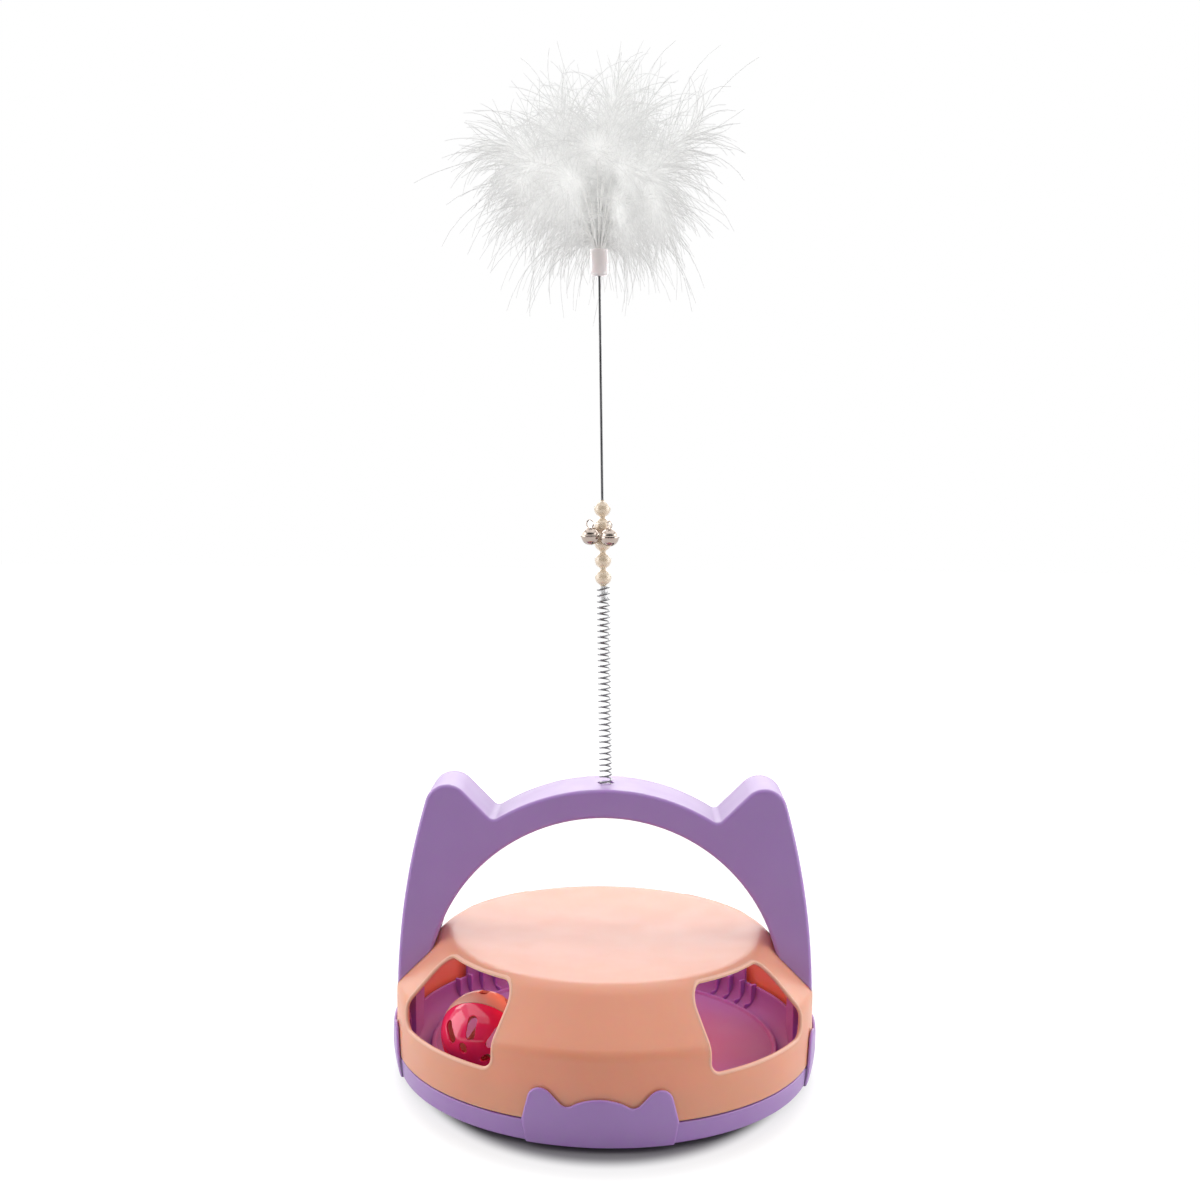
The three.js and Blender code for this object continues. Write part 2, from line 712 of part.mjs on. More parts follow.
// Stands on the crown's inner wall and carries the spring round its pin.
const springAnchor = () =>
  turned(
    [
      [0, archInner + HANDLE_WALL + FIT_GAP - archOuter],
      [ANCHOR_RADIUS, archInner + HANDLE_WALL + FIT_GAP - archOuter],
      [ANCHOR_RADIUS, springFoot],
      [springBore - SPRING_PLAY, springFoot],
      [springBore - SPRING_PLAY, springFoot + ANCHOR_PIN],
      [0, springFoot + ANCHOR_PIN],
    ],
    SMALL_ROUND,
  );

// One unbroken helical tube from the anchor to the lowest pearl.
function coilSpring() {
  const low = springFoot + FIT_GAP + SPRING_WIRE / 2;
  const high = springTop - SPRING_WIRE / 2;
  const turns = Math.round((high - low) / SPRING_PITCH);
  const steps = turns * SPRING_STEPS;
  const centreAt = (i) => {
    const angle = (2 * Math.PI * i) / SPRING_STEPS;
    return new THREE.Vector3(
      springMean * Math.cos(angle),
      springMean * Math.sin(angle),
      low + ((high - low) * i) / steps,
    );
  };
  const centres = Array.from({ length: steps + 1 }, (_, i) => centreAt(i));
  const rings = centres.map((centre, i) => {
    const outward = centre.clone().setZ(0).normalize();
    const along = centreAt(i + 1).sub(centreAt(i - 1)).normalize();
    const across = along.clone().cross(outward);
    return Array.from({ length: SPRING_SIDES }, (_, k) => {
      const angle = (2 * Math.PI * k) / SPRING_SIDES;
      return centre
        .clone()
        .addScaledVector(outward, (SPRING_WIRE / 2) * Math.cos(angle))
        .addScaledVector(across, (SPRING_WIRE / 2) * Math.sin(angle));
    });
  });
  let least = Infinity;
  centres.forEach((centre, i) => {
    for (let j = i + SPRING_STEPS / 2; j <= steps; j++) {
      least = Math.min(least, centre.distanceTo(centres[j]));
    }
  });
  console.log(`spring: ${turns} turns, least gap ${(least - SPRING_WIRE).toFixed(2)} mm`);
  return skinned(rings);
}

const wirePlug = () =>
  turned(
    [
      [0, springTop - PLUG_LENGTH],
      [springBore - SPRING_PLAY, springTop - PLUG_LENGTH],
      [springBore - SPRING_PLAY, springTop],
      [wireBore, springTop],
      [wireBore, springTop - PLUG_LENGTH + PLUG_FLOOR],
      [0, springTop - PLUG_LENGTH + PLUG_FLOOR],
    ],
    SMALL_ROUND,
  );

const wandWire = () =>
  rod(
    WIRE_DIAMETER / 2,
    springTop - PLUG_LENGTH + PLUG_FLOOR + FIT_GAP,
    ferruleFoot + FERRULE_STEM,
    WIRE_SIDES,
  );

// A bead with its bore along Z, centred on the origin.
function pearl() {
  const steps = PEARL_STEPS;
  const end = Math.asin(wireBore / PEARL_RADIUS);
  const arc = Array.from({ length: steps + 1 }, (_, i) => {
    const polar = Math.PI - end - ((Math.PI - 2 * end) * i) / steps;
    return [PEARL_RADIUS * Math.sin(polar), PEARL_RADIUS * Math.cos(polar)];
  });
  return ring(arc, TINY_ROUND);
}

function ferrule() {
  return ring(
    [
      [wireBore, ferruleFoot],
      [FERRULE_RADIUS, ferruleFoot],
      [FERRULE_RADIUS, ferruleTop],
      [FERRULE_CUP, ferruleTop],
      [FERRULE_CUP, ferruleFoot + FERRULE_STEM],
      [wireBore, ferruleFoot + FERRULE_STEM],
    ],
    SMALL_ROUND,
  );
}

// A quarter of a round profile from the pole at +Z to the equator.
const quarterArc = (radius, steps, low = 0) =>
  Array.from({ length: steps + 1 }, (_, i) => {
    const polar = ((Math.PI / 2 - low) * i) / steps;
    return [radius * Math.sin(polar), radius * Math.cos(polar)];
  });

// A jingle bell centred on the origin, its eye up and its slots down.
function bellShell() {
  const upper = quarterArc(BELL_RADIUS, BELL_STEPS, BELL_RIDGE_HEIGHT / 2 / BELL_RADIUS);
  const half = BELL_RIDGE_HEIGHT / 2;
  const outside = turned(
    [
      ...upper.map(([r, z]) => [r, -z]),
      [BELL_RADIUS + BELL_RIDGE, -half],
      [BELL_RADIUS + BELL_RIDGE, half],
      ...[...upper].reverse(),
    ],
    TINY_ROUND,
  );
  const arc = quarterArc(BELL_RADIUS - BELL_WALL, BELL_STEPS);
  const hollow = turned(
    [...arc.map(([r, z]) => [r, -z]), ...arc.slice(0, -1).reverse()],
    TINY_ROUND,
  );
  const reach = BELL_RADIUS;
  const slots = [0, Math.PI / 2].map((turn) =>
    block(
      [-reach, -BELL_SLOT / 2, -reach - OVERLAP],
      [reach, BELL_SLOT / 2, -BELL_SLOT_HEIGHT],
    ).rotateZ(turn),
  );
  const eye = new THREE.TorusGeometry(BELL_EYE_RADIUS, BELL_EYE_WIRE / 2, RING_SIDES, WIRE_SIDES)
    .rotateY(Math.PI / 2)
    .translate(0, 0, bellEyeHeight);
  return cut(join(outside, eye), hollow, ...slots);
}
const bellEyeHeight = BELL_RADIUS + BELL_EYE_RADIUS - OVERLAP;
const pelletDrop = BELL_RADIUS - BELL_WALL - PELLET_RADIUS - FIT_GAP;
const pellet = () =>
  new THREE.SphereGeometry(PELLET_RADIUS, WIRE_SIDES, WIRE_SIDES - 2).translate(0, 0, -pelletDrop);

// The ring lies in the groove under the highest pearl and dips to the front.
const bellRingHeight = springTop + (PEARL_COUNT - 1) * pearlPitch + FIT_GAP / 2;
const ringPoint = (azimuth) => {
  const angle = radians(azimuth);
  const forward = BELL_RING_RADIUS * (1 + Math.cos(angle));
  return new THREE.Vector3(
    BELL_RING_RADIUS * Math.sin(angle),
    BELL_RING_BACK - forward * Math.cos(radians(BELL_RING_TILT)),
    bellRingHeight - forward * Math.sin(radians(BELL_RING_TILT)),
  );
};
const bellRing = () =>
  new THREE.TorusGeometry(BELL_RING_RADIUS, BELL_RING_WIRE / 2, RING_SIDES, 2 * TINY_ROUND)
    .translate(0, -BELL_RING_RADIUS, 0)
    .rotateX(radians(BELL_RING_TILT))
    .translate(0, BELL_RING_BACK, bellRingHeight);
const bellEyeSag =
  BELL_EYE_RADIUS - BELL_EYE_WIRE / 2 - BELL_RING_WIRE / 2 - FIT_GAP;

// A feather: a round quill in the ferrule's cup that opens into a twisted vane.
function feather({ azimuth, bend, tip }, quillAt) {
  const cupFloor = ferruleFoot + FERRULE_STEM + FIT_GAP;
  const reachTo = ([out, up]) =>
    new THREE.Vector2(out * PLUME_REACH, ferruleTop + up * PLUME_RISE);
  const start = new THREE.Vector2(quillAt, ferruleTop);
  const curve = new THREE.QuadraticBezierCurve(start, reachTo(bend), reachTo(tip));
  // Twice the bend of the curve, which is the same all along it.
  const turn = curve.v0.clone().add(curve.v2).addScaledVector(curve.v1, -2);
  const speedAt = (t) =>
    curve.v1.clone().sub(curve.v0).multiplyScalar(2).addScaledVector(turn, 2 * t);
  const flat = Math.cos(radians(FEATHER_TWIST));
  const tilted = Math.sin(radians(FEATHER_TWIST));
  const section = (centre, along, wide, thick) => {
    const normal = new THREE.Vector2(-along.y, along.x);
    return Array.from({ length: FEATHER_SIDES }, (_, k) => {
      const angle = (2 * Math.PI * k) / FEATHER_SIDES;
      const across = wide * Math.cos(angle);
      const lift = thick * Math.sin(angle);
      const level = across * flat - lift * tilted;
      const rise = across * tilted + lift * flat;
      return new THREE.Vector3(
        centre.x + normal.x * rise,
        level,
        centre.y + normal.y * rise,
      );
    });
  };
  const foot = new THREE.Vector2(quillAt, cupFloor);
  const straight = new THREE.Vector2(0, 1);
  const rings = [section(foot, straight, QUILL_RADIUS, QUILL_RADIUS)];
  for (let i = 0; i <= FEATHER_STEPS; i++) {
    const t = i / FEATHER_STEPS;
    const centre = curve.getPoint(t);
    const speed = speedAt(t);
    const bendRadius = speed.length() ** 3 / Math.abs(2 * speed.cross(turn));
    const swell = Math.sin(Math.PI * t ** FEATHER_TAPER) ** FEATHER_TAPER;
    const wide = Math.min(
      (FEATHER_WIDTH / 2) * swell,
      (FEATHER_FAN * centre.x) / flat,
      FEATHER_CURL * bendRadius,
    );
    const thick = QUILL_RADIUS + (FEATHER_THICKNESS / 2 - QUILL_RADIUS) * swell;
    const along = i === 0 ? straight : speed.normalize();
    rings.push(section(centre, along, Math.max(wide, QUILL_RADIUS), thick));
  }
  return skinned(rings).rotateZ(radians(azimuth));
}

// Radius inside the ball that its flat facets leave free.
const ballRoom =
  (BALL_RADIUS - BALL_WALL) *
  Math.cos(Math.PI / BALL_SIDES) *
  Math.cos(Math.PI / 4 / BALL_STEPS);

// Half of the slotted ball, its pole at +Z.
function ballHalf() {
  const inner = BALL_RADIUS - BALL_WALL;
  const low = FIT_GAP / 2 / inner;
  const shell = turned(
    [...quarterArc(inner, BALL_STEPS, low), ...quarterArc(BALL_RADIUS, BALL_STEPS, low).reverse()],
    BALL_SIDES,
  );
  const slots = SLOT_ROWS.flatMap(({ polar, count, first, length, width }) => {
    const end = width / 2;
    const reach = length / 2;
    const outline = [
      [reach, end / 2],
      [reach - end / 2, end],
      [end / 2 - reach, end],
      [-reach, end / 2],
      [-reach, -end / 2],
      [end / 2 - reach, -end],
      [reach - end / 2, -end],
      [reach, -end / 2],
    ];
    const shape = new THREE.Shape(outline.map(([x, y]) => new THREE.Vector2(x, y)));
    const depth = 4 * BALL_WALL;
    return Array.from({ length: count }, (_, k) =>
      new THREE.ExtrudeGeometry(shape, { depth, bevelEnabled: false })
        .translate(0, 0, BALL_RADIUS - depth + BALL_WALL)
        .rotateY(radians(polar))
        .rotateZ(radians(first) + (2 * Math.PI * k) / count),
    );
  });
  return cut(shell, ...slots);
}

// Assembly
const toy = new THREE.Group();

function place(parent, name, geometry, material) {
  const mesh = new THREE.Mesh(geometry, material);
  mesh.name = name;
  parent.add(mesh);
  return mesh;
}

place(toy, "base_tray", baseTray(), MATERIALS.purple);
footPlaces.forEach(([x, y], i) => {
  const foot = rod(FOOT_RADIUS, 0, footBossFace + FOOT_SEAT - FIT_GAP);
  place(toy, `foot_${i + 1}`, foot, MATERIALS.rubber).position.set(x, y, 0);
});

place(toy, "top_cover", topCover(), MATERIALS.peach);

const corners = handleCorners();
place(toy, "handle_shell", handleShell(corners), MATERIALS.purple);
place(toy, "handle_panel", handlePanel(corners), MATERIALS.purple);
bossPlaces.forEach(([x, z], i) => {
  const mesh = place(toy, `handle_screw_${i + 1}`, screw(), MATERIALS.steel);
  mesh.position.set(x, panelFace - SCREW_SINK, z);
  mesh.rotation.x = -Math.PI / 2;
});

const onCrown = new THREE.Group();
onCrown.position.z = crown;
toy.add(onCrown);
place(onCrown, "spring_anchor", springAnchor(), MATERIALS.purple);

const wand = new THREE.Group();
wand.rotation.y = -radians(WAND_LEAN);
onCrown.add(wand);
place(wand, "spring", coilSpring(), MATERIALS.steel);
place(wand, "wire_plug", wirePlug(), MATERIALS.steel);
place(wand, "wand_wire", wandWire(), MATERIALS.steel);
for (let i = 0; i < PEARL_COUNT; i++) {
  const mesh = place(wand, `pearl_${i + 1}`, pearl(), MATERIALS.pearl);
  mesh.position.z = springTop + FIT_GAP + PEARL_RADIUS + i * pearlPitch;
}
place(wand, "bell_ring", bellRing(), MATERIALS.sleeve);
for (const [side, azimuth] of Object.entries(BELL_ANGLES)) {
  const bell = new THREE.Group();
  bell.position.copy(ringPoint(azimuth));
  bell.position.z -= bellEyeSag + bellEyeHeight;
  bell.rotation.z = radians(azimuth);
  wand.add(bell);
  place(bell, `bell_${side}`, bellShell(), MATERIALS.nickel);
  place(bell, `bell_${side}_pellet`, pellet(), MATERIALS.steel);
}
place(wand, "ferrule", ferrule(), MATERIALS.sleeve);
FEATHERS.forEach((spec, i) => {
  place(wand, `feather_${i + 1}`, feather(spec, QUILL_CIRCLE), MATERIALS.feather);
});
place(wand, "feather_centre", feather(CENTRE_FEATHER, 0), MATERIALS.feather);

const ball = new THREE.Group();
ball.position.set(
  orbitRadius * Math.sin(radians(BALL_AZIMUTH)),
  -orbitRadius * Math.cos(radians(BALL_AZIMUTH)),
  discTop + FIT_GAP + BALL_RADIUS,
);
toy.add(ball);
const shells = new THREE.Group();
shells.rotation.set(radians(BALL_TIP), radians(BALL_LEAN), radians(BALL_SPIN), "YXZ");
ball.add(shells);
place(shells, "ball_half_pink", ballHalf(), MATERIALS.pink);
place(shells, "ball_half_clear", ballHalf(), MATERIALS.clear).rotation.x = Math.PI;
const rattle = new THREE.Group();
rattle.position.z = BELL_RADIUS + FIT_GAP - ballRoom;
ball.add(rattle);
place(rattle, "rattle_bell", bellShell(), MATERIALS.nickel);
place(rattle, "rattle_pellet", pellet(), MATERIALS.steel);

export default toy;
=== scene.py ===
import math
import random

import bmesh
import bpy
from mathutils import Matrix, Vector


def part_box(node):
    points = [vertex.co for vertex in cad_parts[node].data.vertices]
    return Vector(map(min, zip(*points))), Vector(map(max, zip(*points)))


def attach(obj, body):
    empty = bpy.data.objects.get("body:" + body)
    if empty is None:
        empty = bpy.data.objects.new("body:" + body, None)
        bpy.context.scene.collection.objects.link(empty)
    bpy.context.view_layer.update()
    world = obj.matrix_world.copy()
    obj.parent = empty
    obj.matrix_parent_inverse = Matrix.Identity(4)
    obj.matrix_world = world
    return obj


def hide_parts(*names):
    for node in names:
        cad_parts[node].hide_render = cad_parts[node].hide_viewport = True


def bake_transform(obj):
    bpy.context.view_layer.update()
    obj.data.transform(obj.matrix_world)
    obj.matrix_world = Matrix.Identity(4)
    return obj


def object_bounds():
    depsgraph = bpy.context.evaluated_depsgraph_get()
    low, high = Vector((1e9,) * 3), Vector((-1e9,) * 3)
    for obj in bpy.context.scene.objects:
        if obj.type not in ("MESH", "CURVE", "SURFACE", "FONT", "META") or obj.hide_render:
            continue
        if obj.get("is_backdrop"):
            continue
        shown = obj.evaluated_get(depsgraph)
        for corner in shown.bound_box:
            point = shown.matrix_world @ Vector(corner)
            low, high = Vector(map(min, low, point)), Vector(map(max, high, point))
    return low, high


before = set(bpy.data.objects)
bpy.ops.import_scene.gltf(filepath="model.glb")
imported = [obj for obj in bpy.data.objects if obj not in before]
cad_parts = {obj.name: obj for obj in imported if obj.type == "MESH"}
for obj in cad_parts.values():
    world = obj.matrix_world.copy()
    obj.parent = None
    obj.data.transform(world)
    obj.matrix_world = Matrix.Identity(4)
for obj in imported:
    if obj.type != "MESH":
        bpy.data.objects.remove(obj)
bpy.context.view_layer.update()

scene = bpy.context.scene
MM = 0.001


def about(axis, degrees):
    """A turn about an axis."""
    return Matrix.Rotation(math.radians(degrees), 4, axis)


def placed(name, data):
    """A new object in the scene."""
    obj = bpy.data.objects.new(name, data)
    scene.collection.objects.link(obj)
    return obj


# -------------------- camera
CAMERA_PLACE = (-0.0255, -0.882, 0.365)
CAMERA_TURN = 2.4  # degrees round the toy, from straight ahead
CAMERA_PITCH = 5.44  # down
CAMERA_ROLL = 0.33
CAMERA_LENS = 45
CAMERA_SHIFT = 0.0298

lens = bpy.data.cameras.new("camera")
lens.sensor_width = 36
lens.lens = CAMERA_LENS
lens.shift_x = CAMERA_SHIFT
lens.clip_start = 0.01
camera = placed("camera", lens)
camera.matrix_world = (
    about("Z", CAMERA_TURN)
    @ Matrix.Translation(CAMERA_PLACE)
    @ about("X", 90 - CAMERA_PITCH)
    @ about("Z", CAMERA_ROLL)
)
scene.camera = camera
scene.view_settings.view_transform = "Standard"

# -------------------- sizes, mm
SEAM = 15
FOOT_HEIGHT = 3
SKIRT_RADIUS, SKIRT_DRAFT = 123, 1.2
SKIRT_WALL = 2.5
TRAY_OUTER, TRAY_INNER, TRAY_TOP = 118.5, 116.5, 34
FLOOR_UNDER, TRACK_FLOOR, DISC_TOP = 9.2, 11.4, 13.2
DISC_RADIUS, DISC_RIM = 104.4, 1.4
COVE_RADIUS = 10.5
NOTCH_AZIMUTH, NOTCH_SPAN, NOTCH_SILL, NOTCH_ROUND = 63.5, 25, 24.5, 1.5
NOTCH_NEAR, NOTCH_FAR, NOTCH_HEAD = 112, 122, TRAY_TOP + 12
RIB_AZIMUTHS = (40.3, 45.6, 50.9, 56.2)  # from the back centre line
RIB_HALF, RIB_TOP, RIB_INNER, RIB_SUNK = 0.9, 26.4, 112.5, 0.6
RIB_TOE, RIB_TOE_TOP = 107.5, 14.6
SOCKET_INNER, SOCKET_OUTER, SOCKET_HALF, SOCKET_TOP = 111.9, 119.1, 17, 46.2
SOCKET_WALL, SOCKET_SUNK = 1.6, 1.1
TONGUE_INNER, TONGUE_OUTER, TONGUE_HALF = 113.9, 117.1, 15
TONGUE_FOOT, TONGUE_TOP, TONGUE_GAP = 18.2, 66, 0.4
COVER_RADIUS, COVER_WALL, COVER_FOOT = 124.5, 2.5, 15.9
SHOULDER_FOOT, SHOULDER_ROUND = 53, 10
RIM_RADIUS, RIM_TOP, RIM_ROUND = 96, 82, 14
DISH_DEPTH = 7
WINDOW_AZIMUTH, WINDOW_SPAN = 46.8, 37.4
WINDOW_SILL, WINDOW_HEAD, WINDOW_ROUND = 38, 78.8, 7
HEAD_ROUND = 11  # at the windows' upper corners
LIP_RADIUS, LIP_INSIDE, LIP_OUTSIDE, LIP_STEP = 1.2, 1.05, 0.4, 2.5  # rolled edge
TAB_INNER, TAB_OUTER = 124.9, 126.7
TAB_TAPER, TAB_TAPER_TOP = 2.6, 19  # towards its foot
# Half of a tab's outline: x, z and rounding from its foot to the valley by its brow.
TAB_SIDE = ((39.5, FOOT_HEIGHT), (41.8, 16, 2.5), (35.6, 41.3, 7), (18.5, 24.3, 5))
TAB_BROW, TAB_BROW_RISE, TAB_BROW_HALF = 30.3, 6, 18.5
TAB_ROOT = ((39.4, 3.3), (41.3, 14.6), (-41.3, 14.6), (-39.4, 3.3))
TAB_STRIP = 2.5
HANDLE_FACE = 21  # half of the handle's depth
HANDLE_WALL, HANDLE_GAP, PANEL_GAP = 2.6, 0.3, 0.35
HANDLE_FOOT = 122.7
ARCH_CENTRE, ARCH_INNER, ARCH_OUTER = 50.5, 104, 121.2
EAR_X, EAR_Z, EAR_ROUND, EAR_LEAN, EAR_SHANK = 99.6, 185.6, 13.3, 0.28, 26
VALLEY_ROUND = 4
SIDE_X = 121.6
PANEL_INSIDE = 18
SCREW_CIRCLE, SCREW_ANGLES, SCREW_WELL = 112.6, (-68, -22, 22, 68), 3
CROWN, SPRING_HOLE = 171.7, 4.7
WAND_LEAN = -1.2
SPRING_LOW, SPRING_HIGH, SPRING_MIDDLE = -5.2, 117.2, 56
SPRING_MEAN, SPRING_WIRE, SPRING_TURNS = 3.5, 0.5, 35
SPRING_STEPS, SPRING_SIDES = 24, 10  # in a turn, and round the wire
PEARL_RADIUS, PEARL_PITCH, PEARL_FIRST = 4.9, 10.1, 122.9
PEARLS, PEARL_POLE = 5, 22  # count, and degrees from the bore to the round
WIRE_RADIUS, WIRE_FOOT = 0.75, 112
FERRULE_FOOT, FERRULE_TOP, FERRULE_RADIUS = 295.2, 312.9, 5.2
BELL_RADIUS, BELL_WALL = 5.4, 0.6
BELL_SLOT, BELL_SLOT_HALF, BELL_SLOT_TOP = 4.2, 0.45, -2.9
# The ridge round a bell: out from its radius, and height.
BELL_RIDGE = ((0.05, -0.62), (0.3, -0.42), (0.36, 0), (0.3, 0.42), (0.05, 0.62))
BALL_CENTRE, BALL_RADIUS, BALL_WALL = (-69.03, -53.93, 37.0), 23.5, 1.6
BALL_TIP, BALL_LEAN, BALL_SPIN = 118.3, 25, 26

wand_place = Matrix.Translation((0, 0, CROWN)) @ about("Y", WAND_LEAN)


# -------------------- finishes
def feed(owner, node, inputs):
    """Sets a node's inputs, and links those that are given an output."""
    for socket, value in inputs.items():
        if isinstance(value, bpy.types.NodeSocket):
            owner.node_tree.links.new(value, node.inputs[socket])
        else:
            node.inputs[socket].default_value = value


def node_of(owner, kind, inputs, **settings):
    """A new node of a material or of the world."""
    node = owner.node_tree.nodes.new(kind)
    for key, value in settings.items():
        setattr(node, key, value)
    feed(owner, node, inputs)
    return node


def shader_of(material):
    return material.node_tree.nodes["Principled BSDF"]


def finish(name, colour, roughness, **sockets):
    """A Principled finish; sockets are given with _ for each space."""
    material = bpy.data.materials.new(name)
    material.use_nodes = True
    sockets.update(Base_Color=(*colour, 1), Roughness=roughness)
    inputs = {socket.replace("_", " "): value for socket, value in sockets.items()}
    feed(material, shader_of(material), inputs)
    return material


def noise(material, scale, detail=2.0):
    """Noise over the piece's own coordinates."""
    place = node_of(material, "ShaderNodeTexCoord", {}).outputs["Object"]
    grain = {"Vector": place, "Scale": scale, "Detail": detail}
    return node_of(material, "ShaderNodeTexNoise", grain).outputs["Fac"]


NOISE_RANGE = (0.3, 0.7)  # where most of the noise lies
BUMP_DETAIL, BUMP_STRENGTH = 3.0, 0.4


def mottle(material, dark, light, scale):
    """Lets the colour drift between two near shades."""
    ramp = node_of(material, "ShaderNodeValToRGB", {"Fac": noise(material, scale)})
    for stop, place, shade in zip(ramp.color_ramp.elements, NOISE_RANGE, (dark, light)):
        stop.position = place
        stop.color = (*shade, 1)
    feed(material, shader_of(material), {"Base Color": ramp.outputs["Color"]})


def uneven_gloss(material, low, high, scale):
    """Lets the roughness drift between two values."""
    drift = {"Value": noise(material, scale)}
    for end, place, value in zip(("Min", "Max"), NOISE_RANGE, (low, high)):
        drift["From " + end] = place
        drift["To " + end] = value
    drift = node_of(material, "ShaderNodeMapRange", drift).outputs["Result"]
    feed(material, shader_of(material), {"Roughness": drift})


def texture_bump(material, scale, depth):
    relief = {"Strength": BUMP_STRENGTH, "Distance": depth}
    relief["Height"] = noise(material, scale, BUMP_DETAIL)
    relief = node_of(material, "ShaderNodeBump", relief).outputs["Normal"]
    feed(material, shader_of(material), {"Normal": relief})


def shades(colour, spread):
    return tuple(c * (1 - spread) for c in colour), tuple(c * (1 + spread) for c in colour)


def moulded(name, colour, glow, gloss=0.4, rough=0.42):
    """Satin moulded plastic, thin enough to let some light through, with the fine
    spark texture of its mould."""
    material = finish(
        name, colour, rough, Specular_IOR_Level=gloss,
        Subsurface_Weight=0.8, Subsurface_Radius=glow, Subsurface_Scale=0.004,
    )
    mottle(material, *shades(colour, 0.025), 22)
    uneven_gloss(material, rough * 0.9, rough * 1.1, 60)
    texture_bump(material, 1700, 0.00005)
    return material


purple_plastic = moulded("purple_plastic", (0.445, 0.265, 0.605), (0.6, 0.25, 0.6), 0.55)
# The tray inside the cover is coloured darker and more saturated than the same purple
# plastic outside: painted shade. It is also less glossy.
tray_plastic_painted_shade = moulded("tray_plastic_painted_shade", (0.44, 0.225, 0.66), (0.6, 0.25, 0.6), 0.04, 0.5)
peach_plastic = moulded("peach_plastic", (0.86, 0.38, 0.24), (1.0, 0.34, 0.13), 0.6)
# The window lips are coloured lighter than the cover: a painted highlight for rounded edges
# that catch light.
EDGE_HIGHLIGHT_COLOUR = (0.93, 0.5, 0.36)
peach_edge_highlight = finish("peach_edge_highlight", EDGE_HIGHLIGHT_COLOUR, 0.4)
mottle(peach_edge_highlight, *shades(EDGE_HIGHLIGHT_COLOUR, 0.02), 22)

foot_rubber = finish("foot_rubber", (0.035, 0.035, 0.037), 0.85)
mottle(foot_rubber, (0.028, 0.028, 0.03), (0.045, 0.045, 0.047), 160)
texture_bump(foot_rubber, 900, 0.0001)

screw_steel = finish("screw_steel", (0.5, 0.51, 0.53), 0.35, Metallic=1.0)
mottle(screw_steel, (0.42, 0.43, 0.45), (0.56, 0.57, 0.59), 300)
uneven_gloss(screw_steel, 0.28, 0.42, 500)

spring_steel = finish("spring_steel", (0.2, 0.2, 0.205), 0.2, Metallic=1.0)
mottle(spring_steel, (0.17, 0.17, 0.175), (0.23, 0.23, 0.235), 240)
uneven_gloss(spring_steel, 0.18, 0.3, 700)

plug_steel = finish("plug_steel", (0.86, 0.86, 0.87), 0.65, Metallic=0.5)
mottle(plug_steel, (0.83, 0.83, 0.84), (0.89, 0.89, 0.9), 240)

wire_steel = finish("wire_steel", (0.12, 0.12, 0.125), 0.3, Metallic=1.0)
mottle(wire_steel, (0.1, 0.1, 0.105), (0.14, 0.14, 0.145), 240)
uneven_gloss(wire_steel, 0.25, 0.4, 700)

pearl_plastic = finish(
    "pearl_plastic", (0.84, 0.67, 0.48), 0.28,
    Coat_Weight=1.0, Coat_Roughness=0.25, Coat_IOR=1.8,
    Sheen_Weight=0.7, Sheen_Roughness=0.45, Sheen_Tint=(1.0, 0.98, 0.95, 1.0),
)
mottle(pearl_plastic, (0.82, 0.65, 0.46), (0.86, 0.69, 0.5), 90)
uneven_gloss(pearl_plastic, 0.24, 0.32, 120)

clear_line = finish(
    "clear_line", (0.97, 0.96, 0.96), 0.05, Transmission_Weight=1.0, IOR=1.15
)
uneven_gloss(clear_line, 0.03, 0.08, 600)

bell_nickel = finish("bell_nickel", (0.44, 0.37, 0.325), 0.16, Metallic=1.0)
mottle(bell_nickel, (0.4, 0.33, 0.29), (0.48, 0.41, 0.36), 420)
uneven_gloss(bell_nickel, 0.12, 0.22, 500)

pellet_steel = finish("pellet_steel", (0.36, 0.36, 0.37), 0.4, Metallic=1.0)
mottle(pellet_steel, (0.3, 0.3, 0.31), (0.42, 0.42, 0.43), 500)

ferrule_plastic = finish(
    "ferrule_plastic", (0.98, 0.94, 0.94), 0.2, Transmission_Weight=0.6, IOR=1.3
)
uneven_gloss(ferrule_plastic, 0.12, 0.2, 300)

ferrule_glue = finish("ferrule_glue", (0.97, 0.86, 0.86), 0.5, Subsurface_Weight=0.3)
mottle(ferrule_glue, (0.96, 0.83, 0.83), (0.98, 0.89, 0.88), 200)

feather_white = finish(
    "feather_white", (0.88, 0.88, 0.875), 0.8, Sheen_Weight=0.4, Sheen_Roughness=0.6
)
mottle(feather_white, (0.85, 0.85, 0.845), (0.91, 0.91, 0.905), 130)
through = {"Color": (0.9, 0.9, 0.895, 1)}
through = node_of(feather_white, "ShaderNodeBsdfTranslucent", through).outputs[0]
both_ways = {"Fac": 0.45, 1: shader_of(feather_white).outputs[0], 2: through}
both_ways = node_of(feather_white, "ShaderNodeMixShader", both_ways).outputs[0]
feather_out = feather_white.node_tree.nodes["Material Output"]
feed(feather_white, feather_out, {"Surface": both_ways})

# The barbs are coloured greyer than the down of the same feathers: painted shade, so that
# the strands read darker against the white.
feather_strand_painted_shade = finish("feather_strand_painted_shade", (0.8, 0.8, 0.795), 0.7)
mottle(feather_strand_painted_shade, (0.75, 0.75, 0.745), (0.85, 0.85, 0.845), 130)

feather_quill = finish("feather_quill", (0.92, 0.915, 0.9), 0.5)
mottle(feather_quill, (0.88, 0.875, 0.86), (0.95, 0.945, 0.93), 150)

ball_pink = finish(
    "ball_pink", (0.97, 0.03, 0.135), 0.06, IOR=1.46, Specular_IOR_Level=0.75,
    Subsurface_Weight=0.3, Subsurface_Radius=(1.0, 0.2, 0.35), Subsurface_Scale=0.0008,
)
mottle(ball_pink, (0.96, 0.026, 0.125), (0.99, 0.036, 0.15), 60)
uneven_gloss(ball_pink, 0.05, 0.08, 90)

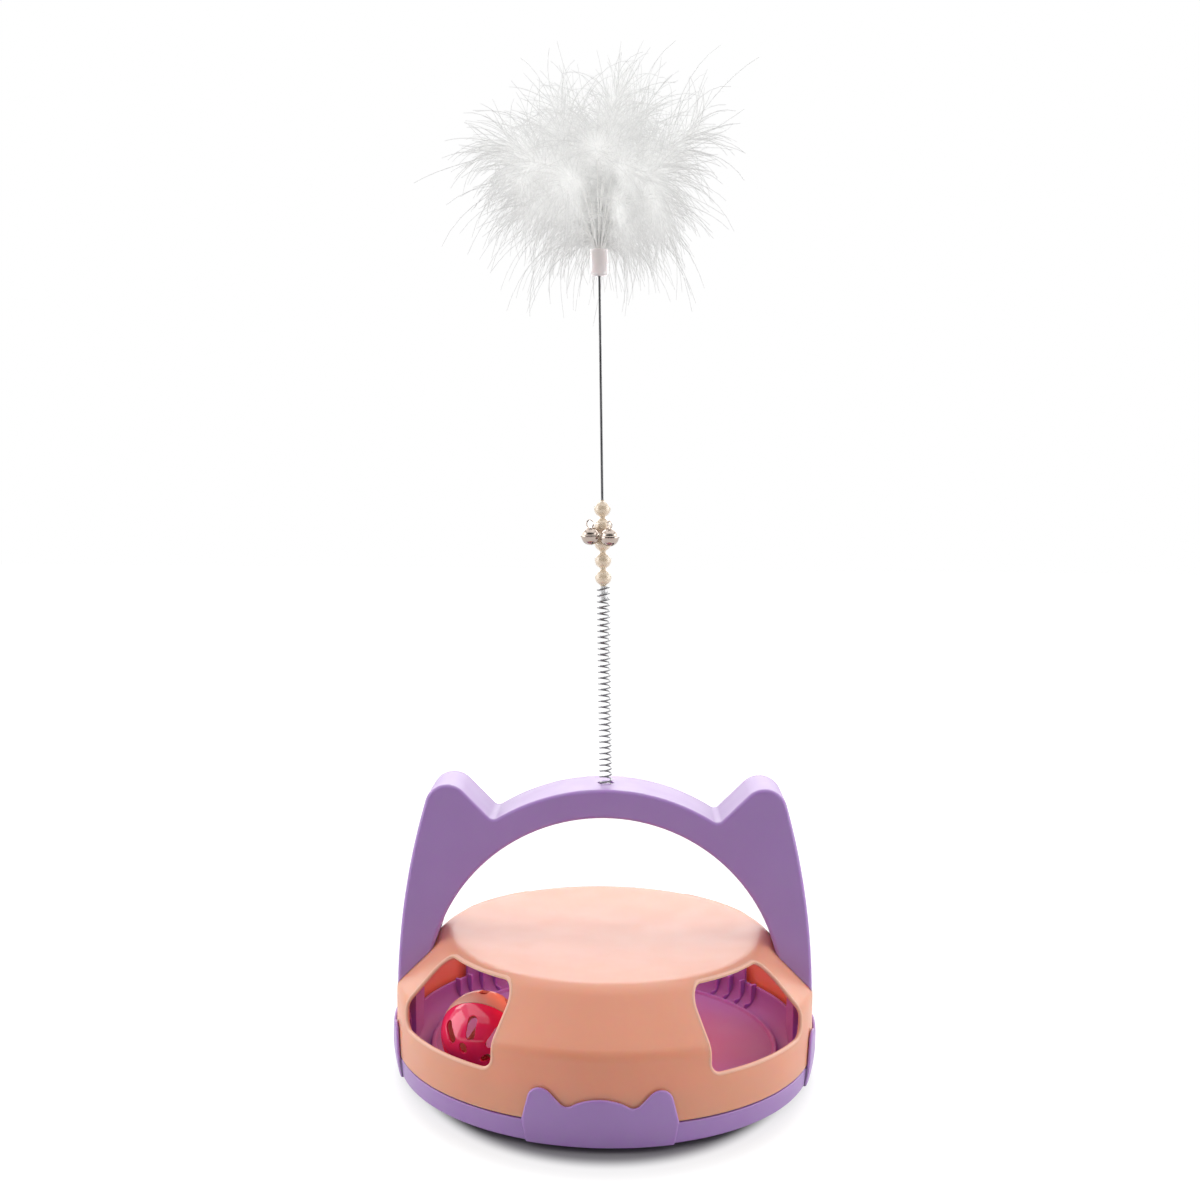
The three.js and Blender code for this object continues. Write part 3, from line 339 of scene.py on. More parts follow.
ball_clear = finish(
    "ball_clear", (0.96, 0.56, 0.46), 0.15, Transmission_Weight=0.25, IOR=1.3,
    Subsurface_Weight=0.4, Subsurface_Radius=(1.0, 0.6, 0.5), Subsurface_Scale=0.003,
)
uneven_gloss(ball_clear, 0.12, 0.2, 90)

SLOT_FINISH = {
    "wire_plug": plug_steel,
    "spring_anchor": purple_plastic,
    "bell_left_pellet": pellet_steel,
    "bell_right_pellet": pellet_steel,
    "rattle_pellet": pellet_steel,
}
for node_name, material in SLOT_FINISH.items():
    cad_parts[node_name].data.materials.clear()
    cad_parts[node_name].data.materials.append(material)


# -------------------- modelling
MERGE = 1e-3  # points nearer than this are one
SHARP = 34  # degrees, from which an edge shows
ARC_STEP = 9  # degrees of a rounded corner for each edge
CUTTER_STRIP = 4


def rounded(corners, closed=True):
    """Outline points from corners (x, y) or (x, y, radius)."""
    line = []
    last = len(corners) - 1
    for i, (x, y, *radius) in enumerate(corners):
        if not radius or (not closed and i in (0, last)):
            line.append((x, y))
            continue
        here = Vector((x, y))
        back = (Vector(corners[i - 1][:2]) - here).normalized()
        ahead = (Vector(corners[(i + 1) % len(corners)][:2]) - here).normalized()
        half = back.angle(ahead) / 2
        start = here + back * (radius[0] / math.tan(half))
        centre = here + (back + ahead).normalized() * (radius[0] / math.sin(half))
        sweep = math.copysign(1, back.cross(ahead)) * (2 * half - math.pi)
        steps = max(2, round(abs(sweep) / math.radians(ARC_STEP)))
        for k in range(steps + 1):
            turned_arm = Matrix.Rotation(sweep * k / steps, 2) @ (start - centre)
            line.append(tuple(centre + turned_arm))
    return line


def rounded_box(half, low, high, low_round, high_round):
    """A rectangle about x = 0 with its own rounding below and above."""
    foot = [(-half, low, low_round), (half, low, low_round)]
    return rounded(foot + [(half, high, high_round), (-half, high, high_round)])


def tidy(bm):
    """Merges doubled points, drops empty faces and turns the rest outwards."""
    bmesh.ops.remove_doubles(bm, verts=bm.verts, dist=MERGE)
    bmesh.ops.dissolve_degenerate(bm, edges=bm.edges, dist=MERGE)
    bmesh.ops.recalc_face_normals(bm, faces=bm.faces)
    return bm


def spun(bm, geom, steps):
    """A profile or a section carried all round the Z axis."""
    bmesh.ops.spin(
        bm, geom=geom, cent=(0, 0, 0), axis=(0, 0, 1), angle=math.tau, steps=steps,
        use_merge=True,
    )
    return tidy(bm)


def turned(profile, steps):
    """A profile of (radius, z) turned about Z. It closes on itself off the axis."""
    bm = bmesh.new()
    verts = [bm.verts.new((max(r, 0), 0, z)) for r, z in profile]
    runs = list(zip(verts, verts[1:]))
    if profile[0][0] > 1e-6:
        runs.append((verts[-1], verts[0]))
    edges = [bm.edges.new(run) for run in runs]
    return spun(bm, verts + edges, steps)


def slab(outline, front, back, margin=0.0):
    """An outline in x and z, drawn in by a margin, carried from y front to back."""
    bm = bmesh.new()
    face = bm.faces.new([bm.verts.new((x, front, z)) for x, z in outline])
    if margin:
        face.normal_update()
        rim = bmesh.ops.inset_individual(
            bm, faces=[face], thickness=margin, use_even_offset=True
        )["faces"]
        bmesh.ops.delete(bm, geom=rim, context="FACES")
    made = bmesh.ops.extrude_face_region(bm, geom=bm.faces[:])["geom"]
    far = [v for v in made if isinstance(v, bmesh.types.BMVert)]
    bmesh.ops.translate(bm, vec=(0, back - front, 0), verts=far)
    return tidy(bm)


def block(low, high):
    bm = bmesh.new()
    bmesh.ops.create_cube(bm, size=1)
    size = [b - a for a, b in zip(low, high)]
    middle = [(a + b) / 2 for a, b in zip(low, high)]
    bmesh.ops.scale(bm, vec=size, verts=bm.verts)
    bmesh.ops.translate(bm, vec=middle, verts=bm.verts)
    return bm


def cut_across(bm, place, way):
    everything = bm.verts[:] + bm.edges[:] + bm.faces[:]
    bmesh.ops.bisect_plane(bm, geom=everything, plane_co=place, plane_no=way)


def strips(bm, pitch):
    """Cuts a slab across x so that it can be bent round."""
    reach = max(abs(v.co.x) for v in bm.verts)
    for k in range(-int(reach / pitch), int(reach / pitch) + 1):
        cut_across(bm, (k * pitch, 0, 0), (1, 0, 0))
    return bm


def soften(bm, width, segments, angle=38):
    """Rounds every edge sharper than the angle."""
    limit = math.radians(angle)
    sharp = [e for e in bm.edges if e.is_manifold and e.calc_face_angle(0) > limit]
    bmesh.ops.bevel(
        bm, geom=sharp, offset=width, segments=segments, profile=0.5, affect="EDGES",
        material=-1, clamp_overlap=False, loop_slide=True,
    )
    return bm


def moved(bm, matrix):
    bmesh.ops.transform(bm, matrix=matrix, verts=bm.verts)
    return bm


def round_point(radius, degrees):
    """A point of a circle, by degrees from its top."""
    angle = math.radians(degrees)
    return radius * math.sin(angle), radius * math.cos(angle)


def disc(radius, low, high):
    """The profile of a plain round plug."""
    return [(0, low), (radius, low), (radius, high), (0, high)]


def bent(start, knee, end, t):
    """A point of the curve that leaves towards the knee and arrives from it."""
    return start * (1 - t) ** 2 + knee * 2 * t * (1 - t) + end * t**2


def round_line(name, radius, resolution=0):
    """A curve as thick as a round line."""
    curve = bpy.data.curves.new(name, "CURVE")
    curve.dimensions = "3D"
    curve.bevel_depth = radius * MM
    curve.bevel_resolution = resolution
    return curve


def together(*parts):
    """Several meshes as one."""
    joined = bmesh.new()
    for part in parts:
        mesh = bpy.data.meshes.new("part")
        part.to_mesh(mesh)
        part.free()
        joined.from_mesh(mesh)
        bpy.data.meshes.remove(mesh)
    return joined


def loose_object(bm):
    mesh = bpy.data.meshes.new("loose")
    bm.to_mesh(mesh)
    bm.free()
    return placed("loose", mesh)


def carved(bm, *cutters, within=0.12):
    """A mesh with the cutters taken out of it."""
    body, tool = loose_object(bm), loose_object(together(*cutters))
    cut = body.modifiers.new("cut", "BOOLEAN")
    cut.operation = "DIFFERENCE"
    cut.solver = "EXACT"
    cut.object = tool
    result = body.evaluated_get(bpy.context.evaluated_depsgraph_get())
    mesh = bpy.data.meshes.new_from_object(result)
    out = bmesh.new()
    out.from_mesh(mesh)
    bpy.data.meshes.remove(mesh)
    for obj in (body, tool):
        used = obj.data
        bpy.data.objects.remove(obj)
        bpy.data.meshes.remove(used)
    bmesh.ops.remove_doubles(out, verts=out.verts, dist=within)
    bmesh.ops.dissolve_degenerate(out, edges=out.edges, dist=MERGE)
    return out


def shown(name, data, material):
    obj = placed(name, data)
    data.materials.append(material)
    return obj


def piece(name, bm, material, slot, body, *nodes, even=True):
    """Finishes a mesh in metres and rides it on its body."""
    bmesh.ops.scale(bm, vec=(MM, MM, MM), verts=bm.verts)
    mesh = bpy.data.meshes.new(name)
    bm.to_mesh(mesh)
    bm.free()
    mesh.shade_smooth()
    mesh.set_sharp_from_angle(angle=math.radians(SHARP))
    obj = shown(name, mesh, material)
    if even:
        weighted = obj.modifiers.new("even_normals", "WEIGHTED_NORMAL")
        weighted.keep_sharp = True
    if body:
        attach(obj, body)
    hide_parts(*nodes)
    return obj


def quarters(azimuth):
    """The same place in each quarter of the round."""
    return azimuth, 180 - azimuth, 180 + azimuth, -azimuth


def wall_cutter(azimuth, span, sill, head, corner, head_corner, wall_radius, near, far):
    """A rounded opening through a round wall, at an azimuth from the front."""
    half = math.radians(span) / 2 * wall_radius
    outline = rounded_box(half, sill, head, corner, head_corner)
    bm = strips(slab(outline, near, far), CUTTER_STRIP)
    for v in bm.verts:
        angle = math.radians(azimuth) + v.co.x / wall_radius
        v.co = (v.co.y * math.sin(angle), -v.co.y * math.cos(angle), v.co.z)
    return tidy(bm)


# -------------------- tray
def tray_body():
    profile = [
        (0, FLOOR_UNDER),
        (SKIRT_RADIUS - SKIRT_WALL, FLOOR_UNDER, 1.5),
        (SKIRT_RADIUS - SKIRT_WALL, FOOT_HEIGHT, 0.6),
        (SKIRT_RADIUS, FOOT_HEIGHT, 1.8),
        (SKIRT_RADIUS + SKIRT_DRAFT, SEAM, 0.5),
        (TRAY_OUTER, SEAM, 0.5),
        (TRAY_OUTER, TRAY_TOP),
        (TRAY_INNER, TRAY_TOP),
        (TRAY_INNER, TRACK_FLOOR, COVE_RADIUS),
        (DISC_RADIUS, TRACK_FLOOR, 0.5),
        (DISC_RADIUS - 0.3, DISC_TOP + DISC_RIM, 0.8),
        (DISC_RADIUS - 2.4, DISC_TOP + DISC_RIM, 0.8),
        (DISC_RADIUS - 3.6, DISC_TOP, 0.8),
        (0, DISC_TOP),
    ]
    notches = [
        wall_cutter(
            azimuth, NOTCH_SPAN, NOTCH_SILL, NOTCH_HEAD, NOTCH_ROUND, NOTCH_ROUND,
            TRAY_OUTER, NOTCH_NEAR, NOTCH_FAR,
        )
        for azimuth in quarters(NOTCH_AZIMUTH)
    ]
    body = soften(carved(turned(rounded(profile, closed=False), 180), *notches), 0.45, 2)
    # The skirt's outside keeps the plain purple; every other face of the tray takes the
    # copy with the painted shade.
    for face in body.faces:
        middle = face.calc_center_median()
        face.material_index = int(middle.xy.length > TRAY_OUTER and middle.z < SEAM + 0.1)
    return body


def tray_rib(azimuth):
    """A fin on the tray wall with a foot on the track."""
    outline = [
        (TRAY_INNER + RIB_SUNK, TRACK_FLOOR - RIB_SUNK),
        (TRAY_INNER + RIB_SUNK, RIB_TOP),
        (RIB_INNER, RIB_TOP, 1.2),
        (RIB_INNER, RIB_TOE_TOP, 1.5),
        (RIB_TOE, RIB_TOE_TOP, 1.0),
        (RIB_TOE, TRACK_FLOOR - RIB_SUNK),
    ]
    bm = soften(slab(rounded(outline), -RIB_HALF, RIB_HALF), 0.35, 2)
    return moved(bm, about("Z", azimuth))


def socket(turn):
    """A pocket that takes a tongue of the handle."""
    bm = block(
        (SOCKET_INNER, -SOCKET_HALF, FLOOR_UNDER + SOCKET_SUNK),
        (SOCKET_OUTER, SOCKET_HALF, SOCKET_TOP),
    )
    bm.normal_update()
    top = max(bm.faces, key=lambda f: f.calc_center_median().z)
    bmesh.ops.inset_individual(bm, faces=[top], thickness=SOCKET_WALL, use_even_offset=True)
    sink = TONGUE_FOOT - TONGUE_GAP - SOCKET_TOP
    bmesh.ops.translate(bm, vec=(0, 0, sink), verts=top.verts)
    soften(bm, 0.4, 2)
    return moved(bm, about("Z", turn))


FOOT_OFFSET, FOOT_RADIUS, FOOT_TOP = 69.3, 9, 5.5
FOOT_HOLLOW, FOOT_HOLLOW_EDGE, FOOT_HOLLOW_DEPTH = 6, 6.6, 0.5
BOSS_INNER, BOSS_OUTER, BOSS_FOOT, BOSS_TOP = 9.3, 11, 3.8, 9.7
FOOT_PLACES = [
    (FOOT_OFFSET * x, FOOT_OFFSET * y, 0) for x, y in ((1, 1), (-1, 1), (-1, -1), (1, -1))
]

tray = piece("tray", tray_body(), tray_plastic_painted_shade, "purple_plastic", "base", "base_tray")
tray.data.materials.append(purple_plastic)
ribs = [tray_rib(90 + turn * azimuth) for azimuth in RIB_AZIMUTHS for turn in (1, -1)]
for name, parts in (("tray_ribs", ribs), ("tray_sockets", [socket(0), socket(180)])):
    piece(name, together(*parts), tray_plastic_painted_shade, "purple_plastic", "base", "base_tray")


def boss(place):
    """The ring under the tray that holds a foot."""
    ring = [(BOSS_INNER, BOSS_FOOT), (BOSS_OUTER, BOSS_FOOT, 0.6)]
    ring += [(BOSS_OUTER, BOSS_TOP), (BOSS_INNER, BOSS_TOP)]
    return moved(turned(rounded(ring), 40), Matrix.Translation(place))


bosses = together(*(boss(place) for place in FOOT_PLACES))
piece("tray_bosses", bosses, purple_plastic, "purple_plastic", "base", "base_tray")


def rubber_foot(place):
    profile = [
        (0, FOOT_HOLLOW_DEPTH),
        (FOOT_HOLLOW, FOOT_HOLLOW_DEPTH),
        (FOOT_HOLLOW_EDGE, 0, 0.3),
        (FOOT_RADIUS, 0, 0.8),
        (FOOT_RADIUS, FOOT_TOP, 0.4),
        (0, FOOT_TOP),
    ]
    return moved(turned(rounded(profile, closed=False), 40), Matrix.Translation(place))


for number, place in enumerate(FOOT_PLACES, 1):
    name = f"foot_{number}"
    piece(f"rubber_{name}", rubber_foot(place), foot_rubber, "foot_rubber", "base", name)


def cat_tab(turn):
    """A plain cat-head tab that rises from the skirt over the cover's band."""
    bow = (TAB_BROW_HALF**2 + TAB_BROW_RISE**2) / (2 * TAB_BROW_RISE)
    brow = [
        (x, TAB_BROW - bow + math.sqrt(bow**2 - x**2)) for x in (12, 8, 4, 0, -4, -8, -12)
    ]
    other = [(-x, z, *radius) for x, z, *radius in reversed(TAB_SIDE)]
    head = slab(rounded([*TAB_SIDE, *brow, *other]), 0, TAB_OUTER - TAB_INNER)
    root = slab(TAB_ROOT, 1, TAB_OUTER - SKIRT_RADIUS + 1)
    bm = strips(together(soften(head, 0.8, 3, 60), root), TAB_STRIP)
    for height in (TAB_TAPER_TOP, 15, 11, 7):
        cut_across(bm, (0, 0, height), (0, 0, 1))
    for v in bm.verts:
        low = max(0, 1 - (v.co.z - FOOT_HEIGHT) / (TAB_TAPER_TOP - FOOT_HEIGHT))
        if v.co.y < TAB_OUTER - SKIRT_RADIUS:
            v.co.y += TAB_TAPER * low**1.5
        v.co.y -= math.sqrt(TAB_OUTER**2 - v.co.x**2)
    return moved(bm, about("Z", turn))


for label, turn in (("front", 0), ("right", 90), ("back", 180), ("left", 270)):
    bm = cat_tab(turn)
    piece(f"cat_tab_{label}", bm, purple_plastic, "purple_plastic", "base", "base_tray")


# -------------------- cover
def cover_skin(out, foot):
    """The cover's outer corners (radius, z, rounding), moved outwards."""
    lean = Vector((RIM_TOP - SHOULDER_FOOT, COVER_RADIUS - RIM_RADIUS)).normalized()
    reach = lean.x * COVER_RADIUS + lean.y * SHOULDER_FOOT + out
    radius, top = COVER_RADIUS + out, RIM_TOP + out
    return [
        (radius, foot),
        (radius, (reach - lean.x * radius) / lean.y, SHOULDER_ROUND + out),
        ((reach - lean.y * top) / lean.x, top, RIM_ROUND + out),
    ]


def top_cover():
    dish = [
        (r, RIM_TOP - DISH_DEPTH * (1 - (r / RIM_RADIUS) ** 2)) for r in range(88, -1, -4)
    ]
    outside = rounded(cover_skin(0, COVER_FOOT) + dish, closed=False)
    under = [(r, z - COVER_WALL) for r, z in dish]
    inside = rounded(cover_skin(-COVER_WALL, COVER_FOOT) + under, closed=False)
    body = turned(list(reversed(inside)) + outside, 200)
    windows = [
        wall_cutter(
            azimuth, WINDOW_SPAN, WINDOW_SILL, WINDOW_HEAD, WINDOW_ROUND, HEAD_ROUND,
            COVER_RADIUS, RIM_RADIUS - COVER_WALL, COVER_RADIUS + 6,
        )
        for azimuth in quarters(WINDOW_AZIMUTH)
    ]
    gap = TONGUE_GAP
    slot = (
        (TONGUE_INNER - gap, -TONGUE_HALF - gap, SHOULDER_FOOT - COVER_WALL),
        (TONGUE_OUTER + gap, TONGUE_HALF + gap, RIM_TOP),
    )
    slots = [moved(block(*slot), about("Z", turn)) for turn in (0, 180)]
    return soften(carved(body, *windows, *slots), 0.5, 2)


def window_lips():
    """A rolled edge round each window, along the cover's skin."""
    skin = cover_skin(-LIP_INSIDE, COVER_FOOT) + [(0, RIM_TOP - LIP_INSIDE)]
    skin = rounded(skin, closed=False)
    line = []
    out = LIP_OUTSIDE
    half = math.radians(WINDOW_SPAN) / 2 * COVER_RADIUS + out
    low, high = WINDOW_SILL - out, WINDOW_HEAD + out
    corners = rounded_box(half, low, high, WINDOW_ROUND + out, HEAD_ROUND + out)
    for start, end in zip(corners, corners[1:] + corners[:1]):
        start, end = Vector(start), Vector(end)
        steps = max(1, round((end - start).length / LIP_STEP))
        line += [start.lerp(end, k / steps) for k in range(steps)]
    curve = round_line("window_lips", LIP_RADIUS, 4)
    for azimuth in quarters(WINDOW_AZIMUTH):
        spline = curve.splines.new("POLY")
        spline.use_cyclic_u = True
        spline.points.add(len(line) - 1)
        for point, (along, z) in zip(spline.points, line):
            angle = math.radians(azimuth) + along / COVER_RADIUS
            low, high = next(run for run in zip(skin, skin[1:]) if run[1][1] >= z)
            share = (z - low[1]) / (high[1] - low[1])
            radius = low[0] + share * (high[0] - low[0])
            spot = Vector((radius * math.sin(angle), -radius * math.cos(angle), z))
            point.co = (*spot * MM, 1)
    return curve


piece("cover", top_cover(), peach_plastic, "peach_plastic", "top", "top_cover")
# The lips wear the lighter finish that carries the painted highlight.
lips = shown("cover_lips", window_lips(), peach_edge_highlight)
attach(lips, "top")
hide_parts("top_cover")


# -------------------- handle
def on_arch(radius, degrees):
    x, z = round_point(radius, degrees)
    return x, ARCH_CENTRE + z


def handle_outline():
    """Legs, ears, valleys and the two arches, seen from the front."""
    foot = Vector((HANDLE_FOOT, ARCH_CENTRE))
    knee = Vector((SIDE_X, EAR_Z - (SIDE_X - EAR_X) / EAR_LEAN))
    shank = Vector((EAR_X + EAR_LEAN * EAR_SHANK, EAR_Z - EAR_SHANK))
    side = [tuple(bent(foot, knee, shank, k / 12)) for k in range(13)]
    rise = EAR_Z - ARCH_CENTRE
    half_sum = (EAR_X + rise) / 2
    apart = (EAR_X**2 + rise**2 - ARCH_OUTER**2) / 2
    fall = half_sum - math.sqrt(half_sum**2 - apart)
    valley = (EAR_X - fall, EAR_Z - fall)
    edge = math.degrees(math.atan2(valley[0], valley[1] - ARCH_CENTRE))
    crown = [on_arch(ARCH_OUTER, edge * (1 - k / 12)) for k in range(1, 24)]
    inner = [on_arch(ARCH_INNER, 180 * (k / 64 - 0.5)) for k in range(65)]
    right = [*side, (EAR_X, EAR_Z, EAR_ROUND), (*valley, VALLEY_ROUND)]
    left = [(-x, z, *radius) for x, z, *radius in reversed(right)]
    return rounded(right + crown + left + inner)


def over_cover(gap):
    """The room that the cover takes, with a gap round it."""
    skin = cover_skin(gap, SEAM)
    return turned([(0, SEAM), *rounded(skin + [(0, skin[-1][1])], closed=False)], 120)


def facing_back(x, y, z):
    """Turns a piece drawn along +Z to face the back, at a place."""
    return Matrix.Translation((x, y, z)) @ about("X", -90)


outline = handle_outline()


def handle_shell():
    body = soften(slab(outline, -HANDLE_FACE, HANDLE_FACE), 2.2, 5, 50)
    hollow = carved(
        slab(outline, HANDLE_WALL - HANDLE_FACE, HANDLE_FACE + 1, HANDLE_WALL),
        over_cover(HANDLE_GAP + HANDLE_WALL),
    )
    spring_hole = turned(disc(SPRING_HOLE, CROWN - 4, CROWN + 2), 32)
    shell = carved(body, over_cover(HANDLE_GAP))
    return carved(carved(shell, hollow), spring_hole)


def handle_panel():
    plate = slab(outline, PANEL_INSIDE, HANDLE_FACE - 0.4, HANDLE_WALL + PANEL_GAP)
    plate = carved(plate, over_cover(HANDLE_GAP + PANEL_GAP + HANDLE_WALL))
    wells = []
    for angle in SCREW_ANGLES:
        x, z = on_arch(SCREW_CIRCLE, angle)
        well = turned(disc(SCREW_WELL, -2, 2), 32)
        wells.append(moved(well, facing_back(x, HANDLE_FACE, z)))
    return soften(carved(plate, *wells), 0.4, 2, 50)


def tongue(turn):
    bm = block(
        (TONGUE_INNER, -TONGUE_HALF, TONGUE_FOOT), (TONGUE_OUTER, TONGUE_HALF, TONGUE_TOP)
    )
    return moved(soften(bm, 0.5, 2), about("Z", turn))


def screw(x, z):
    """A pan-head screw with a cross recess."""
    profile = [(0, -13), (1.3, -11.6, 0.3), (1.3, -1.5)]
    profile += [(2.7, -1.5, 0.3), (2.7, -0.5, 0.6), (0, 0)]
    head = turned(rounded(profile, closed=False), 32)
    cross = [
        block((-1.5, -0.3, -0.9), (1.5, 0.3, 0.5)),
        block((-0.3, -1.5, -0.9), (0.3, 1.5, 0.5)),
    ]
    for arm in cross:
        head = carved(head, arm, within=MERGE)
    return moved(head, facing_back(x, HANDLE_FACE - 0.6, z))


for name, bm, node in (
    ("handle", handle_shell(), "handle_shell"),
    ("handle_tongues", together(tongue(0), tongue(180)), "handle_shell"),
    ("handle_back", handle_panel(), "handle_panel"),
):
    piece(name, bm, purple_plastic, "purple_plastic", "top", node)
for number, angle in enumerate(SCREW_ANGLES, 1):
    name = f"handle_screw_{number}"
    bm = screw(*on_arch(SCREW_CIRCLE, angle))
    piece(f"cross_{name}", bm, screw_steel, "screw_steel", "top", name)


# -------------------- wand
def wire_section(radius, wire_radius, sides):
    """The round section of a wire, standing off the Z axis."""
    bm = bmesh.new()
    bmesh.ops.create_circle(bm, segments=sides, radius=wire_radius)
    return moved(bm, Matrix.Translation((radius, 0, 0)) @ about("X", 90))


def coil(low, high):
    """A stretch of the spring's one helix, in the wand's own heights."""
    pitch = (SPRING_HIGH - SPRING_LOW) / SPRING_TURNS
    first = (low - SPRING_LOW) / pitch
    turns = (high - low) / pitch
    steps = round(turns * SPRING_STEPS)
    bm = wire_section(SPRING_MEAN, SPRING_WIRE, SPRING_SIDES)
    moved(bm, Matrix.Translation((0, 0, low)) @ about("Z", first * 360))
    bmesh.ops.spin(
        bm, geom=bm.verts[:] + bm.edges[:], cent=(0, 0, 0), axis=(0, 0, 1),
        dvec=(0, 0, (high - low) / steps), angle=turns * math.tau, steps=steps,
    )
    bmesh.ops.holes_fill(bm, edges=[e for e in bm.edges if e.is_boundary])
    return moved(tidy(bm), wand_place)


for name, low, high, bodies in (
    ("spring_lower", SPRING_LOW, SPRING_MIDDLE, ("top", "spring")),
    ("spring_upper", SPRING_MIDDLE, SPRING_HIGH, ("spring", "wand")),
):
    bm = coil(low, high)
    half = piece(name, bm, spring_steel, "spring_steel", None, "spring", even=False)
    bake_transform(half)


def on_wand_piece(name, bm, material, slot, *nodes, **settings):
    return piece(name, moved(bm, wand_place), material, slot, "wand", *nodes, **settings)


WIRE_TOP = FERRULE_FOOT + 6
wire = [(0, WIRE_FOOT), (WIRE_RADIUS, WIRE_FOOT, 0.2)]
wire += [(WIRE_RADIUS, WIRE_TOP, 0.2), (0, WIRE_TOP)]
wire = turned(rounded(wire, closed=False), 20)
on_wand_piece("wire", wire, wire_steel, "spring_steel", "wand_wire")


def pearl(height):
    """A bead with a short collar at each end of its bore."""
    bore = WIRE_RADIUS + 0.3
    arc = []
    for k in range(33):
        radius, z = round_point(PEARL_RADIUS, PEARL_POLE + (180 - 2 * PEARL_POLE) * k / 32)
        arc.append((radius, height + z))
    reach = PEARL_PITCH / 2 - 0.04
    neck = arc[0][0] - 0.15
    collar = [(neck, height - reach, 0.1), (bore, height - reach, 0.1)]
    collar += [(bore, height + reach, 0.1), (neck, height + reach, 0.1)]
    return turned(arc + rounded(collar, closed=False), 40)


for number in range(1, PEARLS + 1):
    height = PEARL_FIRST + (number - 1) * PEARL_PITCH
    bead = pearl(height)
    on_wand_piece(f"bead_{number}", bead, pearl_plastic, "pearl_plastic", f"pearl_{number}")

RING_RADIUS, RING_WIRE, RING_BACK, RING_TILT = 7.6, 0.35, 3.4, 12
RING_HEIGHT = PEARL_FIRST + 3.5 * PEARL_PITCH
BELL_EYE_RADIUS, BELL_EYE_WIRE = 2.2, 0.4
BELL_AZIMUTHS = (("left", -69), ("right", 34))  # round the ring
BELL_EYE_HEIGHT = BELL_RADIUS + BELL_EYE_RADIUS - 0.5
BELL_EYE_SAG = BELL_EYE_RADIUS - BELL_EYE_WIRE - RING_WIRE - 0.3


def hoop(radius, wire_radius, steps=48, sides=12):
    """A ring of round wire about Z."""
    bm = wire_section(radius, wire_radius, sides)
    return spun(bm, bm.verts[:] + bm.edges[:], steps)


ring_place = (
    Matrix.Translation((0, RING_BACK, RING_HEIGHT))
    @ about("X", RING_TILT)
    @ Matrix.Translation((0, -RING_RADIUS, 0))
)
ring = moved(hoop(RING_RADIUS, RING_WIRE), ring_place)
on_wand_piece("bell_line", ring, clear_line, "clear_line", "bell_ring", even=False)


def jingle_bell():
    """Two pressed cups with a rolled ridge, crossed slots below and a wire eye."""
    outer = BELL_RADIUS
    inner = outer - BELL_WALL
    cup = [round_point(outer, a) for a in range(6, 84, 6)]
    profile = [(0, -outer), *((radius, -z) for radius, z in cup)]
    profile += [(outer + out, z) for out, z in BELL_RIDGE]
    profile += [*reversed(cup), (0, outer)]
    shell = turned(profile, 40)
    hollow = bmesh.new()
    bmesh.ops.create_icosphere(hollow, subdivisions=3, radius=inner)
    slots = [
        block((-x, -y, -outer - 1), (x, y, BELL_SLOT_TOP))
        for x, y in ((BELL_SLOT, BELL_SLOT_HALF), (BELL_SLOT_HALF, BELL_SLOT))
    ]
    shell = carved(shell, hollow, within=MERGE)
    for slot in slots:
        shell = carved(shell, slot, within=MERGE)
    eye = moved(
        hoop(BELL_EYE_RADIUS, BELL_EYE_WIRE, 28, 8),
        Matrix.Translation((0, 0, BELL_EYE_HEIGHT)) @ about("Y", 90),
    )
    return together(shell, eye)


def bell_place(azimuth):
    angle = math.radians(azimuth)
    forward = RING_RADIUS * (1 + math.cos(angle))
    tilt = math.radians(RING_TILT)
    x = RING_RADIUS * math.sin(angle)
    y = RING_BACK - forward * math.cos(tilt)
    z = RING_HEIGHT - forward * math.sin(tilt) - BELL_EYE_SAG - BELL_EYE_HEIGHT
    return wand_place @ Matrix.Translation((x, y, z)) @ about("Z", azimuth)


for side, azimuth in BELL_AZIMUTHS:
    bell = moved(jingle_bell(), bell_place(azimuth))
    name = f"bell_{side}"
    piece(f"jingle_{side}", bell, bell_nickel, "bell_nickel", name, name)

SLEEVE_FOOT, SLEEVE_BORE, SLEEVE_INNER = FERRULE_FOOT + 2.5, 1.05, 4.3
SLEEVE_FLOOR = SLEEVE_FOOT + 1.5
GLUE_FOOT, GLUE_RADIUS = SLEEVE_FOOT + 1.7, 4.1
sleeve = [
    (SLEEVE_BORE, SLEEVE_FOOT, 0.2),
    (FERRULE_RADIUS, SLEEVE_FOOT, 2.6),
    (FERRULE_RADIUS, FERRULE_TOP, 0.35),
    (SLEEVE_INNER, FERRULE_TOP, 0.35),
    (SLEEVE_INNER, SLEEVE_FLOOR, 1.8),
    (SLEEVE_BORE, SLEEVE_FLOOR, 0.2),
]
sleeve = turned(rounded(sleeve), 48)
on_wand_piece("ferrule_sleeve", sleeve, ferrule_plastic, "ferrule_plastic", "ferrule")
glue = [(0, GLUE_FOOT), (GLUE_RADIUS, GLUE_FOOT, 1.6)]
glue += [(GLUE_RADIUS, FERRULE_TOP - 1.2, 1.2), (0, FERRULE_TOP - 0.4)]
glue = turned(rounded(glue, closed=False), 40)
on_wand_piece("ferrule_core", glue, ferrule_glue, "ferrule_plastic", "ferrule")


# -------------------- feathers
PLUME_REACH, PLUME_RISE = 90, 120
QUILL_CIRCLE = 2.3
CUP_FLOOR = FERRULE_FOOT + 6.3
